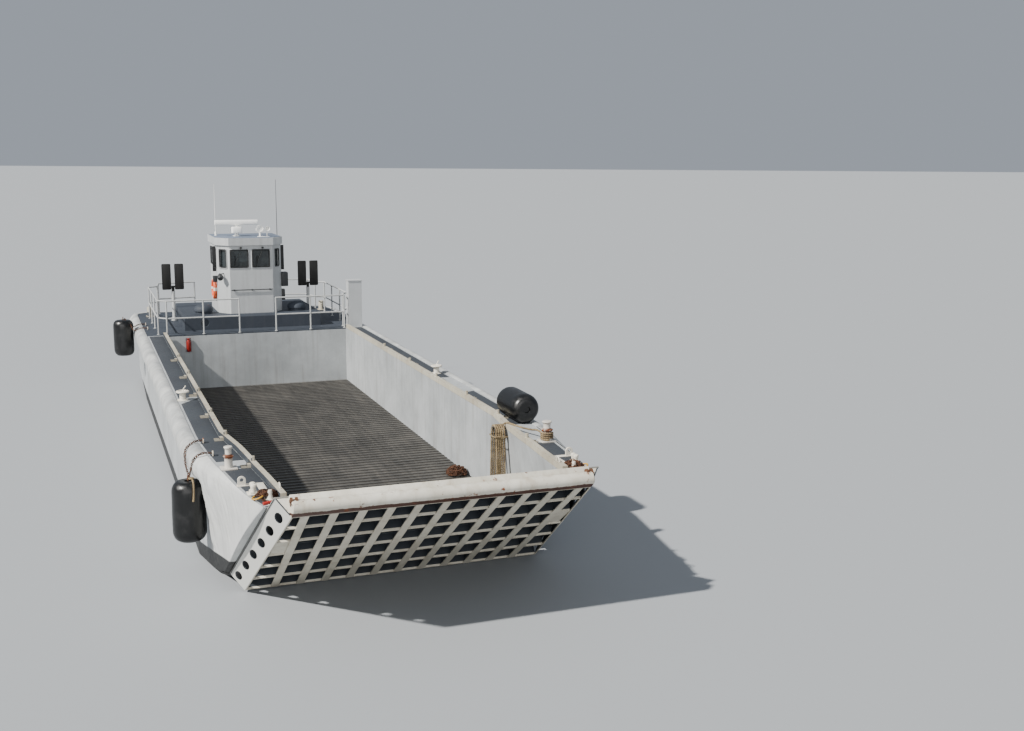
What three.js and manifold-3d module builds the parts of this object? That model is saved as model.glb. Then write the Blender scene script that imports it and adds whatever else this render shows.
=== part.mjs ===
// A steel landing craft with a load well and a bow ramp, 22.4 m long and 6.4 m over its guards.
// Millimetres. +X forward, +Y port, +Z up; z = 0 is the flat bottom, x = 0 is amidships.
import * as THREE from "three";
import { mergeVertices } from "three/addons/utils/BufferGeometryUtils.js";
import Module from "manifold-3d";

const wasm = await Module();
wasm.setup();

// Driving dimensions of the hull
const GAP = 0.3; // between pieces that rest on each other
const DECK_Z = 2850;
const DECK_PLATE = 30;
const DECK_HALF = 2956; // half width of the deck inside the guards
const STERN_X = -11200;
const QUARTER_X = -10700; // where the deck's edge turns in towards the stern
const WELL_AFT_X = -6135; // after end of the load well
const WELL_HALF = 2456;
const FLOOR_Z = 1355;
const FLOOR_PLATE = 20;
const FLOOR_BREAK_X = 7200; // forward of here the floor slopes down to the sill
const SILL_X = 7955;
const SILL_Z = 1145;
const BULKHEAD_THICK = 60;
const COAMING_HIGH = 100;
const COAMING_WIDE = 90;
const SOCKET = { xs: [-1970, 330, 2400, 4460, 6350, 8260], radius: 32, top: 3020, arm: 190 };

// Driving dimensions of the ramp, in its own frame: x up along the slope, z square to it, inwards
const RAKE = THREE.MathUtils.degToRad(35.4);
const RAMP_FOOT = { x: 8215, z: 833 };
const RAMP_LONG = 3470;
const RAMP_DEEP = 310;
const RAMP_HALF_FOOT = 2480;
const RAMP_HALF_TOP = 2200;
const RAMP_LEAN = 200; // how much further out the side plates stand on the inner face
const RAMP_SKIN = 20;
const BOW_CLEARANCE = 20; // between the closed ramp and the hull
const HINGE = { x: 40, z: 360, pin: 25, boss: 45 };

// Driving dimensions of what stands on the after deck
const TRUNK = {
  aft: -10200, front: -6900, half: 1900, top: 3250, bevel: 60, portY: -1350, portRadius: 110,
};
const HOUSE_WALL = 40;
const HOUSE_WALL_TOP = 5170;
const HOUSE_ROOF_TOP = 5380;
const WINDOW = { low: 4550, high: 5050 };
const DOOR = { stbd: -350, port: 350, low: 3300, high: 5020, pinX: -9115, pinY: 350, hinges: [3700, 4600] };
const HATCH = {
  aft: -11050, front: -10350, half: 350, wall: 50, top: 3000,
  pinX: -10318, pinZ: 3016, pin: 15, knuckle: 99,
};
const RADAR = { x: -8000, y: -260 };
const LAMP = { x: -7500, y: 330 };
const SHIELD = { x: -9200, y: 1990, turn: 3720, top: 4530 };
const RAIL = { top: 3780, middle: 3310, radius: 21 };
const SHAFT = { y: 1350, z: 500, radius: 45, aft: -9960, front: -8905 };
const BEARING = { radius: 110, aft: -9600, front: -8700 };
const TUNNEL = { radius: 500, aft: -11300, front: -8900, tip: -7900, tipRadius: 150 };
const SCREW = { x: -10050, tip: 430, thick: 16, twist: 0.6 };
const RUDDER = { x: -10750, low: 70, high: 830, top: 955, stock: 40 };
const ENGINE = { aft: -8800, front: -6900, half: 400, low: 1150, high: 2250 };
const WHIP_RADIUS = 11;

// Driving dimensions of the deck gear at the bow
const BITT = { x: 8250, y: 2660, stub: 80, collar: 104, post: 62, stubTop: 3040, top: 3205 };
const FENDER = { radius: 285, long: 1140 };
const LUG_YS = [-2200, -800, 800, 2200];
const KNUCKLE_YS = [-2080, -680, 680, 2080];
const HANK = { x: 7150, top: 2948, low: 1870, half: 140, deep: 226 };
const ROPE_RADIUS = 18;
const TURNS_TOP = 3031;

// Bars across the load floor and cleats across the ramp's driving face
const BAR = { aft: -5900, front: 7120, pitch: 200, high: 20, wide: 40, half: 2440 };
const CLEAT = { foot: 300, pitch: 300, high: 18, wide: 40, half: 2000 };

const FINISHES = {
  hull_paint: { color: 0x9b9fa0, roughness: 0.62, metalness: 0.1 },
  bottom_paint: { color: 0x17181a, roughness: 0.7, metalness: 0.1 },
  deck_paint: { color: 0x5b6571, roughness: 0.85, metalness: 0.05 },
  worn_floor: { color: 0x4b4a48, roughness: 0.6, metalness: 0.5 },
  ramp_paint: { color: 0x8c8f8d, roughness: 0.7, metalness: 0.15 },
  white_paint: { color: 0xe4e2da, roughness: 0.5, metalness: 0.0 },
  black_paint: { color: 0x1a1b1e, roughness: 0.55, metalness: 0.1 },
  window_pane: { color: 0x1c2326, roughness: 0.08, metalness: 0.0 },
  fender_rubber: { color: 0x15171a, roughness: 0.55, metalness: 0.0 },
  rope_fibre: { color: 0xb39a68, roughness: 0.9, metalness: 0.0 },
  ring_foam: { color: 0xd9481f, roughness: 0.6, metalness: 0.0 },
  bronze: { color: 0x9a7a42, roughness: 0.4, metalness: 0.9 },
  bare_steel: { color: 0x6c6a66, roughness: 0.5, metalness: 0.8 },
  engine_paint: { color: 0x6f7c6d, roughness: 0.6, metalness: 0.2 },
};

const craft = new THREE.Group();
const ramp = new THREE.Group();
ramp.position.set(RAMP_FOOT.x, 0, RAMP_FOOT.z);
ramp.rotation.y = -RAKE;
craft.add(ramp);

// A closed geometry as a solid that can be joined and cut
function solid(geometry) {
  const bare = geometry.clone();
  bare.deleteAttribute("normal");
  bare.deleteAttribute("uv");
  const merged = mergeVertices(bare, 1e-3);
  const mesh = new wasm.Mesh({
    numProp: 3,
    vertProperties: merged.attributes.position.array,
    triVerts: new Uint32Array(merged.index.array),
  });
  return new wasm.Manifold(mesh);
}

const join = (...bodies) => bodies.reduce((all, one) => all.add(one));
const cut = (body, ...tools) => tools.reduce((rest, tool) => rest.subtract(tool), body);

// Adds a finished solid to the craft, or to another group, as one named mesh
function add(name, body, finish, group = craft) {
  const made = body.getMesh();
  const geometry = new THREE.BufferGeometry();
  geometry.setAttribute("position", new THREE.BufferAttribute(made.vertProperties, 3));
  geometry.setIndex(new THREE.BufferAttribute(made.triVerts, 1));
  geometry.computeVertexNormals();
  const mesh = new THREE.Mesh(geometry, new THREE.MeshStandardMaterial(FINISHES[finish]));
  mesh.name = name;
  group.add(mesh);
  return mesh;
}

// A block between two corners
function block(x0, x1, y0, y1, z0, z1) {
  const geometry = new THREE.BoxGeometry(x1 - x0, y1 - y0, z1 - z0);
  geometry.translate((x0 + x1) / 2, (y0 + y1) / 2, (z0 + z1) / 2);
  return solid(geometry);
}

// An outline drawn square to an axis, run from one place on that axis to another
function prism(axis, outline, from, to) {
  const shape = new THREE.Shape(outline.map(([a, b]) => new THREE.Vector2(a, b)));
  const geometry = new THREE.ExtrudeGeometry(shape, { depth: to - from, bevelEnabled: false });
  if (axis === "x") {
    const turn = new THREE.Matrix4().makeBasis(
      new THREE.Vector3(0, 1, 0), new THREE.Vector3(0, 0, 1), new THREE.Vector3(1, 0, 0));
    geometry.applyMatrix4(turn);
    geometry.translate(from, 0, 0);
  } else if (axis === "y") {
    geometry.rotateX(Math.PI / 2);
    geometry.translate(0, to, 0);
  } else {
    geometry.translate(0, 0, from);
  }
  return solid(geometry);
}

// A round bar, or a cone where the two radii differ, between two points
function rod(from, to, radius, sides = 12, endRadius = radius) {
  const start = new THREE.Vector3(...from);
  const along = new THREE.Vector3(...to).sub(start);
  const geometry = new THREE.CylinderGeometry(endRadius, radius, along.length(), sides);
  const turn = new THREE.Quaternion().setFromUnitVectors(
    new THREE.Vector3(0, 1, 0), along.clone().normalize());
  geometry.applyQuaternion(turn);
  const middle = start.addScaledVector(along, 0.5);
  geometry.translate(middle.x, middle.y, middle.z);
  return solid(geometry);
}

// A profile of radius and height turned about an upright axis
function turned(profile, x, y, z, sides = 16) {
  const points = profile.map(([r, h]) => new THREE.Vector2(r, h));
  const geometry = new THREE.LatheGeometry(points, sides);
  geometry.rotateX(Math.PI / 2);
  geometry.translate(x, y, z);
  return solid(geometry);
}

// A closed skin over a row of rings that run forward and have the same number of corners
function loft(rings) {
  const outline = rings[0].map(([, y, z]) => new THREE.Vector2(y, z));
  const ordered = THREE.ShapeUtils.isClockWise(outline)
    ? rings.map((ring) => [...ring].reverse())
    : rings;
  const count = outline.length;
  const last = (rings.length - 1) * count;
  const index = [];
  for (let start = 0; start < last; start += count) {
    for (let k = 0; k < count; k++) {
      const a = start + k;
      const b = start + ((k + 1) % count);
      index.push(a, b, b + count, a, b + count, a + count);
    }
  }
  const flat = ordered[0].map(([, y, z]) => new THREE.Vector2(y, z));
  for (const face of THREE.ShapeUtils.triangulateShape(flat, [])) {
    const [a, b, c] = THREE.ShapeUtils.area(face.map((k) => flat[k])) > 0 ? face : [...face].reverse();
    index.push(a, c, b, last + a, last + b, last + c);
  }
  const geometry = new THREE.BufferGeometry();
  geometry.setAttribute("position", new THREE.Float32BufferAttribute(ordered.flat(2), 3));
  geometry.setIndex(index);
  return solid(geometry);
}

// The value of one column of a table at x, straight between its rows
function at(table, column, x) {
  const next = Math.max(1, table.findIndex((row) => row.x >= x));
  const [a, b] = [table[next - 1], table[next]];
  const share = THREE.MathUtils.clamp((x - a.x) / (b.x - a.x), 0, 1);
  return a[column] + (b[column] - a[column]) * share;
}

// Half widths along the craft: of the deck, of the low hull, of the well at the deck, and the floor's top
const PLAN = [
  { x: -11200, deck: 2956, low: 2956, well: 2456, floor: 1355 },
  { x: 6100, deck: 2956, low: 2956, well: 2456, floor: 1355 },
  { x: 7200, deck: 2895, low: 2850, well: 2318, floor: 1355 },
  { x: 7955, deck: 2835, low: 2765, well: 2262, floor: 1145 },
  { x: 8500, deck: 2775, low: 2715, well: 2230, floor: 1145 },
  { x: 9200, deck: 2705, low: 2660, well: 2172, floor: 1145 },
  { x: 9750, deck: 2632, low: 2600, well: 2135, floor: 1145 },
  { x: 10200, deck: 2550, low: 2530, well: 2110, floor: 1145 },
  { x: 10600, deck: 2455, low: 2440, well: 2086, floor: 1145 },
];

// The double bottom, from the well's after end to the forefoot
function bottomShell() {
  const stations = [
    { x: WELL_AFT_X - BULKHEAD_THICK, keel: 0, flat: 2600, chine: 750 },
    { x: 5000, keel: 0, flat: 2600, chine: 750 },
    { x: 6100, keel: 130, flat: 2570, chine: 800 },
    { x: 7200, keel: 560, flat: 2500, chine: 930 },
    { x: 7780, keel: 880, flat: 2480, chine: 1040 },
    { x: SILL_X, keel: 1110, flat: 2520, chine: 1117 },
  ];
  return loft(stations.map(({ x, keel, flat, chine }) => {
    const side = at(PLAN, "low", x);
    const top = at(PLAN, "floor", x) - FLOOR_PLATE - GAP;
    return [
      [x, side, top], [x, side, chine], [x, flat, keel],
      [x, -flat, keel], [x, -side, chine], [x, -side, top],
    ];
  }));
}

// The after hull: engine room open at the top, tunnels over the screws, skegs with shaft bearings
function afterHull() {
  const stations = [
    { x: STERN_X, keel: 950, flat: 2250, chine: 1300, side: 2700 },
    { x: -11000, keel: 900, flat: 2450, chine: 1280, side: 2900 },
    { x: QUARTER_X, keel: 820, flat: 2560, chine: 1220, side: DECK_HALF },
    { x: -9400, keel: 480, flat: 2600, chine: 1020, side: DECK_HALF },
    { x: -7500, keel: 0, flat: 2600, chine: 750, side: DECK_HALF },
    { x: WELL_AFT_X - BULKHEAD_THICK - GAP, keel: 0, flat: 2600, chine: 750, side: DECK_HALF },
  ];
  const top = DECK_Z - DECK_PLATE - GAP;
  let hull = loft(stations.map(({ x, keel, flat, chine, side }) => [
    [x, side, top], [x, side, chine], [x, flat, keel],
    [x, -flat, keel], [x, -side, chine], [x, -side, top],
  ]));
  const room = { aft: -9500, front: -6500, half: 2300 };
  const skegHalf = 60;
  hull = hull.subtract(block(room.aft, room.front, -room.half, room.half, ENGINE.low, DECK_Z));
  for (const side of [-1, 1]) {
    const y = side * SHAFT.y;
    const along = (aft, front, radius, sides, end) =>
      rod([aft, y, SHAFT.z], [front, y, SHAFT.z], radius, sides, end);
    const upright = (low, high, radius) => rod([RUDDER.x, y, low], [RUDDER.x, y, high], radius, 16);
    const tunnel = along(TUNNEL.aft, TUNNEL.front, TUNNEL.radius, 20);
    const lead = along(TUNNEL.front, TUNNEL.tip, TUNNEL.radius, 20, TUNNEL.tipRadius);
    const skegTop = SHAFT.z + BEARING.radius - 10;
    const skeg = block(BEARING.aft + 50, -7000, y - skegHalf, y + skegHalf, 0, skegTop);
    const bearing = along(BEARING.aft, BEARING.front, BEARING.radius, 16);
    const bore = along(BEARING.aft - 100, SHAFT.front + 5, SHAFT.radius + 0.8, 24);
    const trunk = upright(900, 1100, 2 * RUDDER.stock);
    const stockBore = upright(880, RUDDER.top + 5, RUDDER.stock + 1.6);
    hull = hull.subtract(tunnel).subtract(lead).add(skeg).add(bearing).add(trunk);
    hull = hull.subtract(bore).subtract(stockBore);
  }
  return hull;
}

// A side tank beside the well, cut to the bow's rake; its inner wall leans inboard at the bow
function wing(side) {
  const front = PLAN[PLAN.length - 1].x;
  const xs = [WELL_AFT_X - BULKHEAD_THICK, 6100, 7200, 7955, 8500, 9200, 9750, 10200, front];
  const body = loft(xs.map((x) => {
    const foot = at(PLAN, "floor", x) - FLOOR_PLATE;
    const y = (name) => side * at(PLAN, name, x);
    return [
      [x, y("low"), foot], [x, y("deck"), DECK_Z], [x, y("well"), DECK_Z],
      [x, side * WELL_HALF, foot + FLOOR_PLATE], [x, side * (WELL_HALF + 1), foot],
    ];
  }));
  const ahead = new THREE.BoxGeometry(8000, 8000, 3000);
  ahead.translate(2000, 0, -1500);
  ahead.rotateY(-RAKE);
  const place = rampPoint(0, RAMP_DEEP + BOW_CLEARANCE);
  ahead.translate(place.x, 0, place.z);
  return cut(body, solid(ahead));
}

// A point of the ramp's own frame in the craft's frame
function rampPoint(x, z) {
  return {
    x: RAMP_FOOT.x + x * Math.cos(RAKE) - z * Math.sin(RAKE),
    z: RAMP_FOOT.z + x * Math.sin(RAKE) + z * Math.cos(RAKE),
  };
}

// The well's floor plate, bent down to the sill, with its cross bars
function wellFloor() {
  const profile = [
    [WELL_AFT_X + GAP, FLOOR_Z - FLOOR_PLATE], [FLOOR_BREAK_X, FLOOR_Z - FLOOR_PLATE],
    [SILL_X, SILL_Z - FLOOR_PLATE], [SILL_X, SILL_Z], [FLOOR_BREAK_X, FLOOR_Z],
    [WELL_AFT_X + GAP, FLOOR_Z],
  ];
  let plate = prism("y", profile, -WELL_HALF + 1, WELL_HALF - 1);
  for (let x = BAR.aft; x < BAR.front; x += BAR.pitch) {
    plate = plate.add(block(x, x + BAR.wide, -BAR.half, BAR.half, FLOOR_Z - 5, FLOOR_Z + BAR.high));
  }
  return plate;
}

// The guards' section: how far out from the deck's edge, and height
const GUARD_SECTION = [
  [GAP, 2450], [110, 2430], [205, 2500], [244, 2620], [236, 2740], [170, 2840], [80, 2874], [GAP, 2862],
];

// The rubbing guard along one deck edge, closed by a rounded end at the bow
function sideGuard(side) {
  const ends = [
    { x: QUARTER_X, share: 1 }, { x: 6100, share: 1 }, { x: 7200, share: 1 }, { x: 7955, share: 1 },
    { x: 8500, share: 1 }, { x: 9200, share: 1 }, { x: 9750, share: 1 }, { x: 10200, share: 1 },
    { x: 10400, share: 0.85 }, { x: 10480, share: 0.55 }, { x: 10520, share: 0.2 },
  ];
  const middle = 2650; // height that the closing sections shrink to
  return loft(ends.map(({ x, share }) => GUARD_SECTION.map(([out, z]) => [
    x, side * (at(PLAN, "deck", x) + GAP + (out - GAP) * share), middle + (z - middle) * share,
  ])));
}

// The guard round the stern, mitred where it turns
function sternGuard() {
  // Corners of the stern, and how far each stretch that starts there runs on past both its ends
  const corners = [
    { x: QUARTER_X, y: DECK_HALF, before: 50, after: 75 },
    { x: -11000, y: 2900, before: 22, after: 101 },
    { x: STERN_X, y: 2700, before: 101, after: 101 },
    { x: STERN_X, y: -2700, before: 101, after: 22 },
    { x: -11000, y: -2900, before: 75, after: 50 },
    { x: QUARTER_X, y: -DECK_HALF },
  ];
  const shape = new THREE.Shape(GUARD_SECTION.map(([out, z]) => new THREE.Vector2(out, z)));
  const stretches = corners.slice(0, -1).map(({ x, y, before, after }, i) => {
    const along = new THREE.Vector2(corners[i + 1].x - x, corners[i + 1].y - y);
    const long = along.length() + before + after;
    const geometry = new THREE.ExtrudeGeometry(shape, { depth: long, bevelEnabled: false });
    geometry.rotateX(Math.PI / 2);
    geometry.translate(0, long - before, 0);
    geometry.rotateZ(along.angle() - Math.PI / 2);
    geometry.translate(x, y, 0);
    return solid(geometry);
  });
  return cut(join(...stretches), block(QUARTER_X - GAP, -10000, -4000, 4000, 2000, 3500));
}

// The low rim along the top of the well, with its tarpaulin bow sockets
function coaming(side) {
  const xs = [WELL_AFT_X + 60, 6100, 7200, 7955, 8500, 9200, 10200];
  const inner = xs.map((x) => [x, side * at(PLAN, "well", x)]);
  const outer = xs.map((x) => [x, side * (at(PLAN, "well", x) + COAMING_WIDE)]).reverse();
  let body = prism("z", [...inner, ...outer], DECK_Z + GAP, DECK_Z + COAMING_HIGH);
  for (const x of SOCKET.xs) {
    const y = side * (at(PLAN, "well", x) + COAMING_WIDE / 2);
    const foot = y + side * 30;
    body = body.add(rod([x, y, DECK_Z + 50], [x, y, SOCKET.top], SOCKET.radius, 6));
    body = body.add(block(x - 60, x + 60, foot - 70, foot + 70, DECK_Z + GAP, DECK_Z + 60));
    for (const turn of [-1, 1]) {
      const [near, far] = [y + side * 20, y + side * SOCKET.arm].sort((a, b) => a - b);
      const arm = x + turn * 50;
      body = body.add(block(arm - 8, arm + 8, near, far, DECK_Z + GAP, DECK_Z + 30));
    }
  }
  return body;
}

// The after deck plate, with the coaming and hinge of its hatch
function afterDeck() {
  const step = WELL_AFT_X - BULKHEAD_THICK - GAP;
  const half = [
    [WELL_AFT_X, WELL_HALF - 1], [step, WELL_HALF - 1], [step, DECK_HALF],
    [QUARTER_X, DECK_HALF], [-11000, 2900], [STERN_X, 2700],
  ];
  const outline = [...half, ...half.map(([x, y]) => [x, -y]).reverse()];
  const plate = prism("z", outline, DECK_Z - DECK_PLATE, DECK_Z);
  const { aft, front, half: wide, wall, top, pinX, pinZ, knuckle, pin } = HATCH;
  const ring = cut(
    block(aft, front, -wide, wide, DECK_Z, top),
    block(aft + wall, front - wall, wall - wide, wide - wall, DECK_Z + 10, top + 10));
  const ear = block(front, pinX, -knuckle, knuckle, top - 60, top - 4);
  const barrel = rod([pinX, -knuckle, pinZ], [pinX, knuckle, pinZ], pin, 10);
  const cheek = block(pinX - 10, pinX + 10, -knuckle, knuckle, top - 60, pinZ);
  return join(plate, ring, ear, cheek, barrel);
}

function hatchLid() {
  const { aft, front, half, top, pinX, pinZ, knuckle, pin } = HATCH;
  const lip = 15; // how far the lid overhangs its coaming
  let lid = block(aft - lip, front + 8, -half - lip, half + lip, top + GAP, top + 30);
  for (const side of [-1, 1]) {
    const [near, far] = [side * (knuckle + GAP), side * 220].sort((a, b) => a - b);
    lid = lid.add(rod([pinX, near, pinZ], [pinX, far, pinZ], pin, 10));
    lid = lid.add(block(front - 40, pinX, near, far, top + 8, top + 30));
  }
  return lid;
}

// The plate that closes the well aft, with a recess for an extinguisher
function wellBulkhead() {
  const bottom = FLOOR_Z - FLOOR_PLATE;
  const plate = block(WELL_AFT_X - BULKHEAD_THICK, WELL_AFT_X, -WELL_HALF + 1, WELL_HALF - 1,
    bottom, DECK_Z - DECK_PLATE - GAP);
  return cut(plate, block(WELL_AFT_X - 40, WELL_AFT_X + 10, -1960, -1820, 2390, 2760));
}

function engineTrunk() {
  const { aft, front, half, top, bevel, portY, portRadius } = TRUNK;
  const outline = [
    [aft, DECK_Z + GAP], [front, DECK_Z + GAP], [front, top - bevel], [front - bevel, top],
    [aft + bevel, top], [aft, top - bevel],
  ];
  const body = prism("y", outline, -half, half);
  const portZ = (DECK_Z + top) / 2;
  return cut(body, rod([front - 50, portY, portZ], [front + 10, portY, portZ], portRadius, 16));
}

// The pilothouse's plan, pulled in by a distance
function housePlan(inset) {
  const corner = inset * 0.42;
  const half = [[-7100 - inset, 600 - corner], [-7500 - corner, 900 - inset], [-9100 + inset, 900 - inset]];
  return [...half, ...half.map(([x, y]) => [x, -y]).reverse()];
}

function houseWalls() {
  const shell = cut(
    prism("z", housePlan(0), TRUNK.top + GAP, HOUSE_WALL_TOP),
    prism("z", housePlan(HOUSE_WALL), TRUNK.top - 10, HOUSE_WALL_TOP + 10));
  const { low, high } = WINDOW;
  let body = cut(shell,
    block(-7200, -7050, -580, -80, low, high), block(-7200, -7050, 30, 520, low, high),
    block(-9150, -9050, DOOR.stbd, DOOR.port, DOOR.low, DOOR.high),
    block(-9150, -9050, -800, -480, low, high), block(-9150, -9050, 480, 800, low, high));
  for (const side of [-1, 1]) {
    for (const [aft, front] of [[-8900, -8350], [-8230, -7680]]) {
      body = body.subtract(block(aft, front, side * 900 - 60, side * 900 + 60, low, high));
    }
    const pane = new THREE.BoxGeometry(260, 160, high - low);
    pane.rotateZ(-side * Math.atan2(300, 400));
    pane.translate(-7300, side * 750, (low + high) / 2);
    body = body.subtract(solid(pane));
  }
  for (const z of DOOR.hinges) {
    for (const [from, to] of [[z - 100, z - 50 - GAP], [z + 50 + GAP, z + 100]]) {
      body = body.add(rod([DOOR.pinX, DOOR.pinY, from], [DOOR.pinX, DOOR.pinY, to], 12, 10));
      body = body.add(block(DOOR.pinX, -9098, DOOR.pinY + 2, DOOR.pinY + 40, from, to));
      body = body.add(block(DOOR.pinX - 6, DOOR.pinX + 6, DOOR.pinY, DOOR.pinY + 30, from, to));
    }
  }
  return body;
}

function houseDoor() {
  let leaf = block(-9100, -9065, DOOR.stbd + 6, DOOR.port - 6, DOOR.low + 8, DOOR.high - 8);
  leaf = leaf.subtract(block(-9150, -9050, -200, 200, WINDOW.low, DOOR.high - 120));
  for (const z of DOOR.hinges) {
    leaf = leaf.add(rod([DOOR.pinX, DOOR.pinY, z - 50], [DOOR.pinX, DOOR.pinY, z + 50], 12, 10));
    leaf = leaf.add(block(DOOR.pinX - 6, DOOR.pinX + 6, DOOR.port - 80, DOOR.pinY, z - 50, z + 50));
    leaf = leaf.add(block(DOOR.pinX, -9098, DOOR.port - 80, DOOR.port - 30, z - 50, z + 50));
  }
  return leaf;
}

// Panes as one band inside the walls, from below the windows to above them
function houseGlass() {
  const from = WINDOW.low - 50;
  const to = WINDOW.high + 50;
  const band = cut(
    prism("z", housePlan(HOUSE_WALL + GAP), from, to),
    prism("z", housePlan(HOUSE_WALL + 8), from - 10, to + 10));
  return cut(band, block(-9150, -8950, DOOR.stbd - 30, DOOR.port + 30, from - 10, to + 10));
}

function radarPedestal() {
  const foot = rod([RADAR.x, RADAR.y, HOUSE_ROOF_TOP + GAP], [RADAR.x, RADAR.y, 5480], 60, 12);
  const flange = rod([RADAR.x, RADAR.y, HOUSE_ROOF_TOP + GAP], [RADAR.x, RADAR.y, 5395], 110, 12);
  const housing = block(RADAR.x - 160, RADAR.x + 160, RADAR.y - 150, RADAR.y + 150, 5475, 5650);
  return join(foot, flange, housing);
}

function radarArray() {
  const neck = rod([RADAR.x, RADAR.y, 5650 + GAP], [RADAR.x, RADAR.y, 5710], 50, 12);
  const outline = [[-60, 5700], [50, 5700], [70, 5740], [70, 5810], [40, 5840], [-60, 5840]]
    .map(([x, z]) => [RADAR.x + x, z]);
  return neck.add(prism("y", outline, RADAR.y - 605, RADAR.y + 605));
}

function searchlightBase() {
  const post = rod([LAMP.x, LAMP.y, HOUSE_ROOF_TOP + GAP], [LAMP.x, LAMP.y, 5510], 25, 10);
  const plate = block(LAMP.x - 70, LAMP.x + 70, LAMP.y - 70, LAMP.y + 260, HOUSE_ROOF_TOP + GAP, 5395);
  const stalk = rod([LAMP.x, LAMP.y + 200, 5390], [LAMP.x, LAMP.y + 200, 5600], 16, 8);
  const horn = rod([LAMP.x - 110, LAMP.y + 200, 5620], [LAMP.x + 130, LAMP.y + 200, 5620], 24, 12, 70);
  return join(post, plate, stalk, horn);
}

function searchlightHead() {
  const neck = rod([LAMP.x, LAMP.y, 5510 + GAP], [LAMP.x, LAMP.y, 5560], 20, 10);
  const drum = rod([LAMP.x - 80, LAMP.y, 5620], [LAMP.x + 80, LAMP.y, 5620], 80, 16, 95);
  return neck.add(drum);
}

// A post with flange, and the turning head with its two plates
function shieldPost(side) {
  const y = side * SHIELD.y;
  return rod([SHIELD.x, y, DECK_Z + GAP], [SHIELD.x, y, SHIELD.turn], 50, 12)
    .add(rod([SHIELD.x, y, DECK_Z + GAP], [SHIELD.x, y, DECK_Z + 25], 82, 12));
}

function shieldHead(side) {
  const y = side * SHIELD.y;
  const { x, turn } = SHIELD;
  let head = rod([x, y, turn + GAP], [x, y, turn + 130], 42, 12);
  head = head.add(block(x - 20, x + 60, y - 280, y + 280, turn + 110, turn + 160));
  for (const [inner, outer] of [[-310, -50], [50, 310]]) {
    head = head.add(block(x + 50, x + 64, y + inner, y + outer, turn + 50, SHIELD.top));
  }
  return head;
}

// Rails of the after deck: a top and a middle tube along a path, with posts at its corners
function rails(side) {
  const across = [[-6165, 500], [-6165, 1465], [-6165, 2430]];
  const corner = side > 0 ? [[-6520, 2470], [-6760, 2640]] : [[-6420, 2640]];
  const along = [
    [-7700, 2640], [-8800, 2640], [-9900, 2640], [-10060, 2380], [-10860, 2300], [-11080, 1200],
  ];
  const path = [...across, ...corner, ...along].map(([x, y]) => [x, side * y]);
  const lines = [RAIL.top, RAIL.middle];
  const pieces = path.map(([x, y]) => rod([x, y, DECK_Z + GAP], [x, y, RAIL.top + 4], RAIL.radius, 6));
  for (let i = 0; i + 1 < path.length; i++) {
    for (const z of lines) {
      pieces.push(rod([...path[i], z], [...path[i + 1], z], RAIL.radius - 1, 6));
    }
  }
  return join(...pieces);
}

function locker() {
  return block(-6440, -6150, 2560, 2940, DECK_Z + GAP, 4170)
    .add(block(-6455, -6135, 2545, 2955, 4170, 4200));
}

// A mooring post on a base plate: a wide stub, a collar and a capped post above it
function bitt(side) {
  const { x, stub, collar, post, stubTop, top } = BITT;
  const y = side * BITT.y;
  const upright = (low, high, radius, end) => rod([x, y, low], [x, y, high], radius, 14, end);
  return join(
    block(x - 130, x + 130, y - 125, y + 125, DECK_Z + GAP, DECK_Z + 22),
    upright(DECK_Z + 10, stubTop + 5, stub),
    upright(stubTop, stubTop + 22, collar),
    upright(stubTop + 10, top - 20, post),
    upright(top - 45, top - 18, post, post + 24),
    upright(top - 20, top, post + 24));
}

function bollard(side) {
  const [x, y] = [-10300, side * 2610];
  return join(
    block(x - 130, x + 130, y - 110, y + 110, DECK_Z + GAP, DECK_Z + 22),
    rod([x, y, DECK_Z + 10], [x, y, DECK_Z + 300], 80, 14),
    rod([x - 150, y, DECK_Z + 200], [x + 150, y, DECK_Z + 200], 22, 8));
}

function mushroomVent(x, y) {
  return turned([
    [0, 0], [110, 0], [110, 12], [62, 14], [62, 150], [112, 150], [130, 172], [112, 194], [0, 198],
  ], x, y, DECK_Z + GAP);
}

function domeVent(side) {
  return turned([
    [0, 0], [240, 0], [240, 60], [270, 70], [262, 140], [205, 215], [110, 258], [0, 268],
  ], -7480, side * 1320, TRUNK.top + GAP, 18);
}

// Gear on the deck at the bow, on one doubler plate: a padeye, a two-horned chock, a post and a locking bar
const PADEYE = { x: 9290, thick: 30, near: 2550, far: 2670, high: 150, eyeZ: 95, eye: 28 };
const CHOCK = { x: 9750, near: 2430, far: 2575, long: 90, high: 165 };
const LOCK_BAR = { x: 10400, near: 2160, far: 2460, z: 52, radius: 24 };

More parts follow.
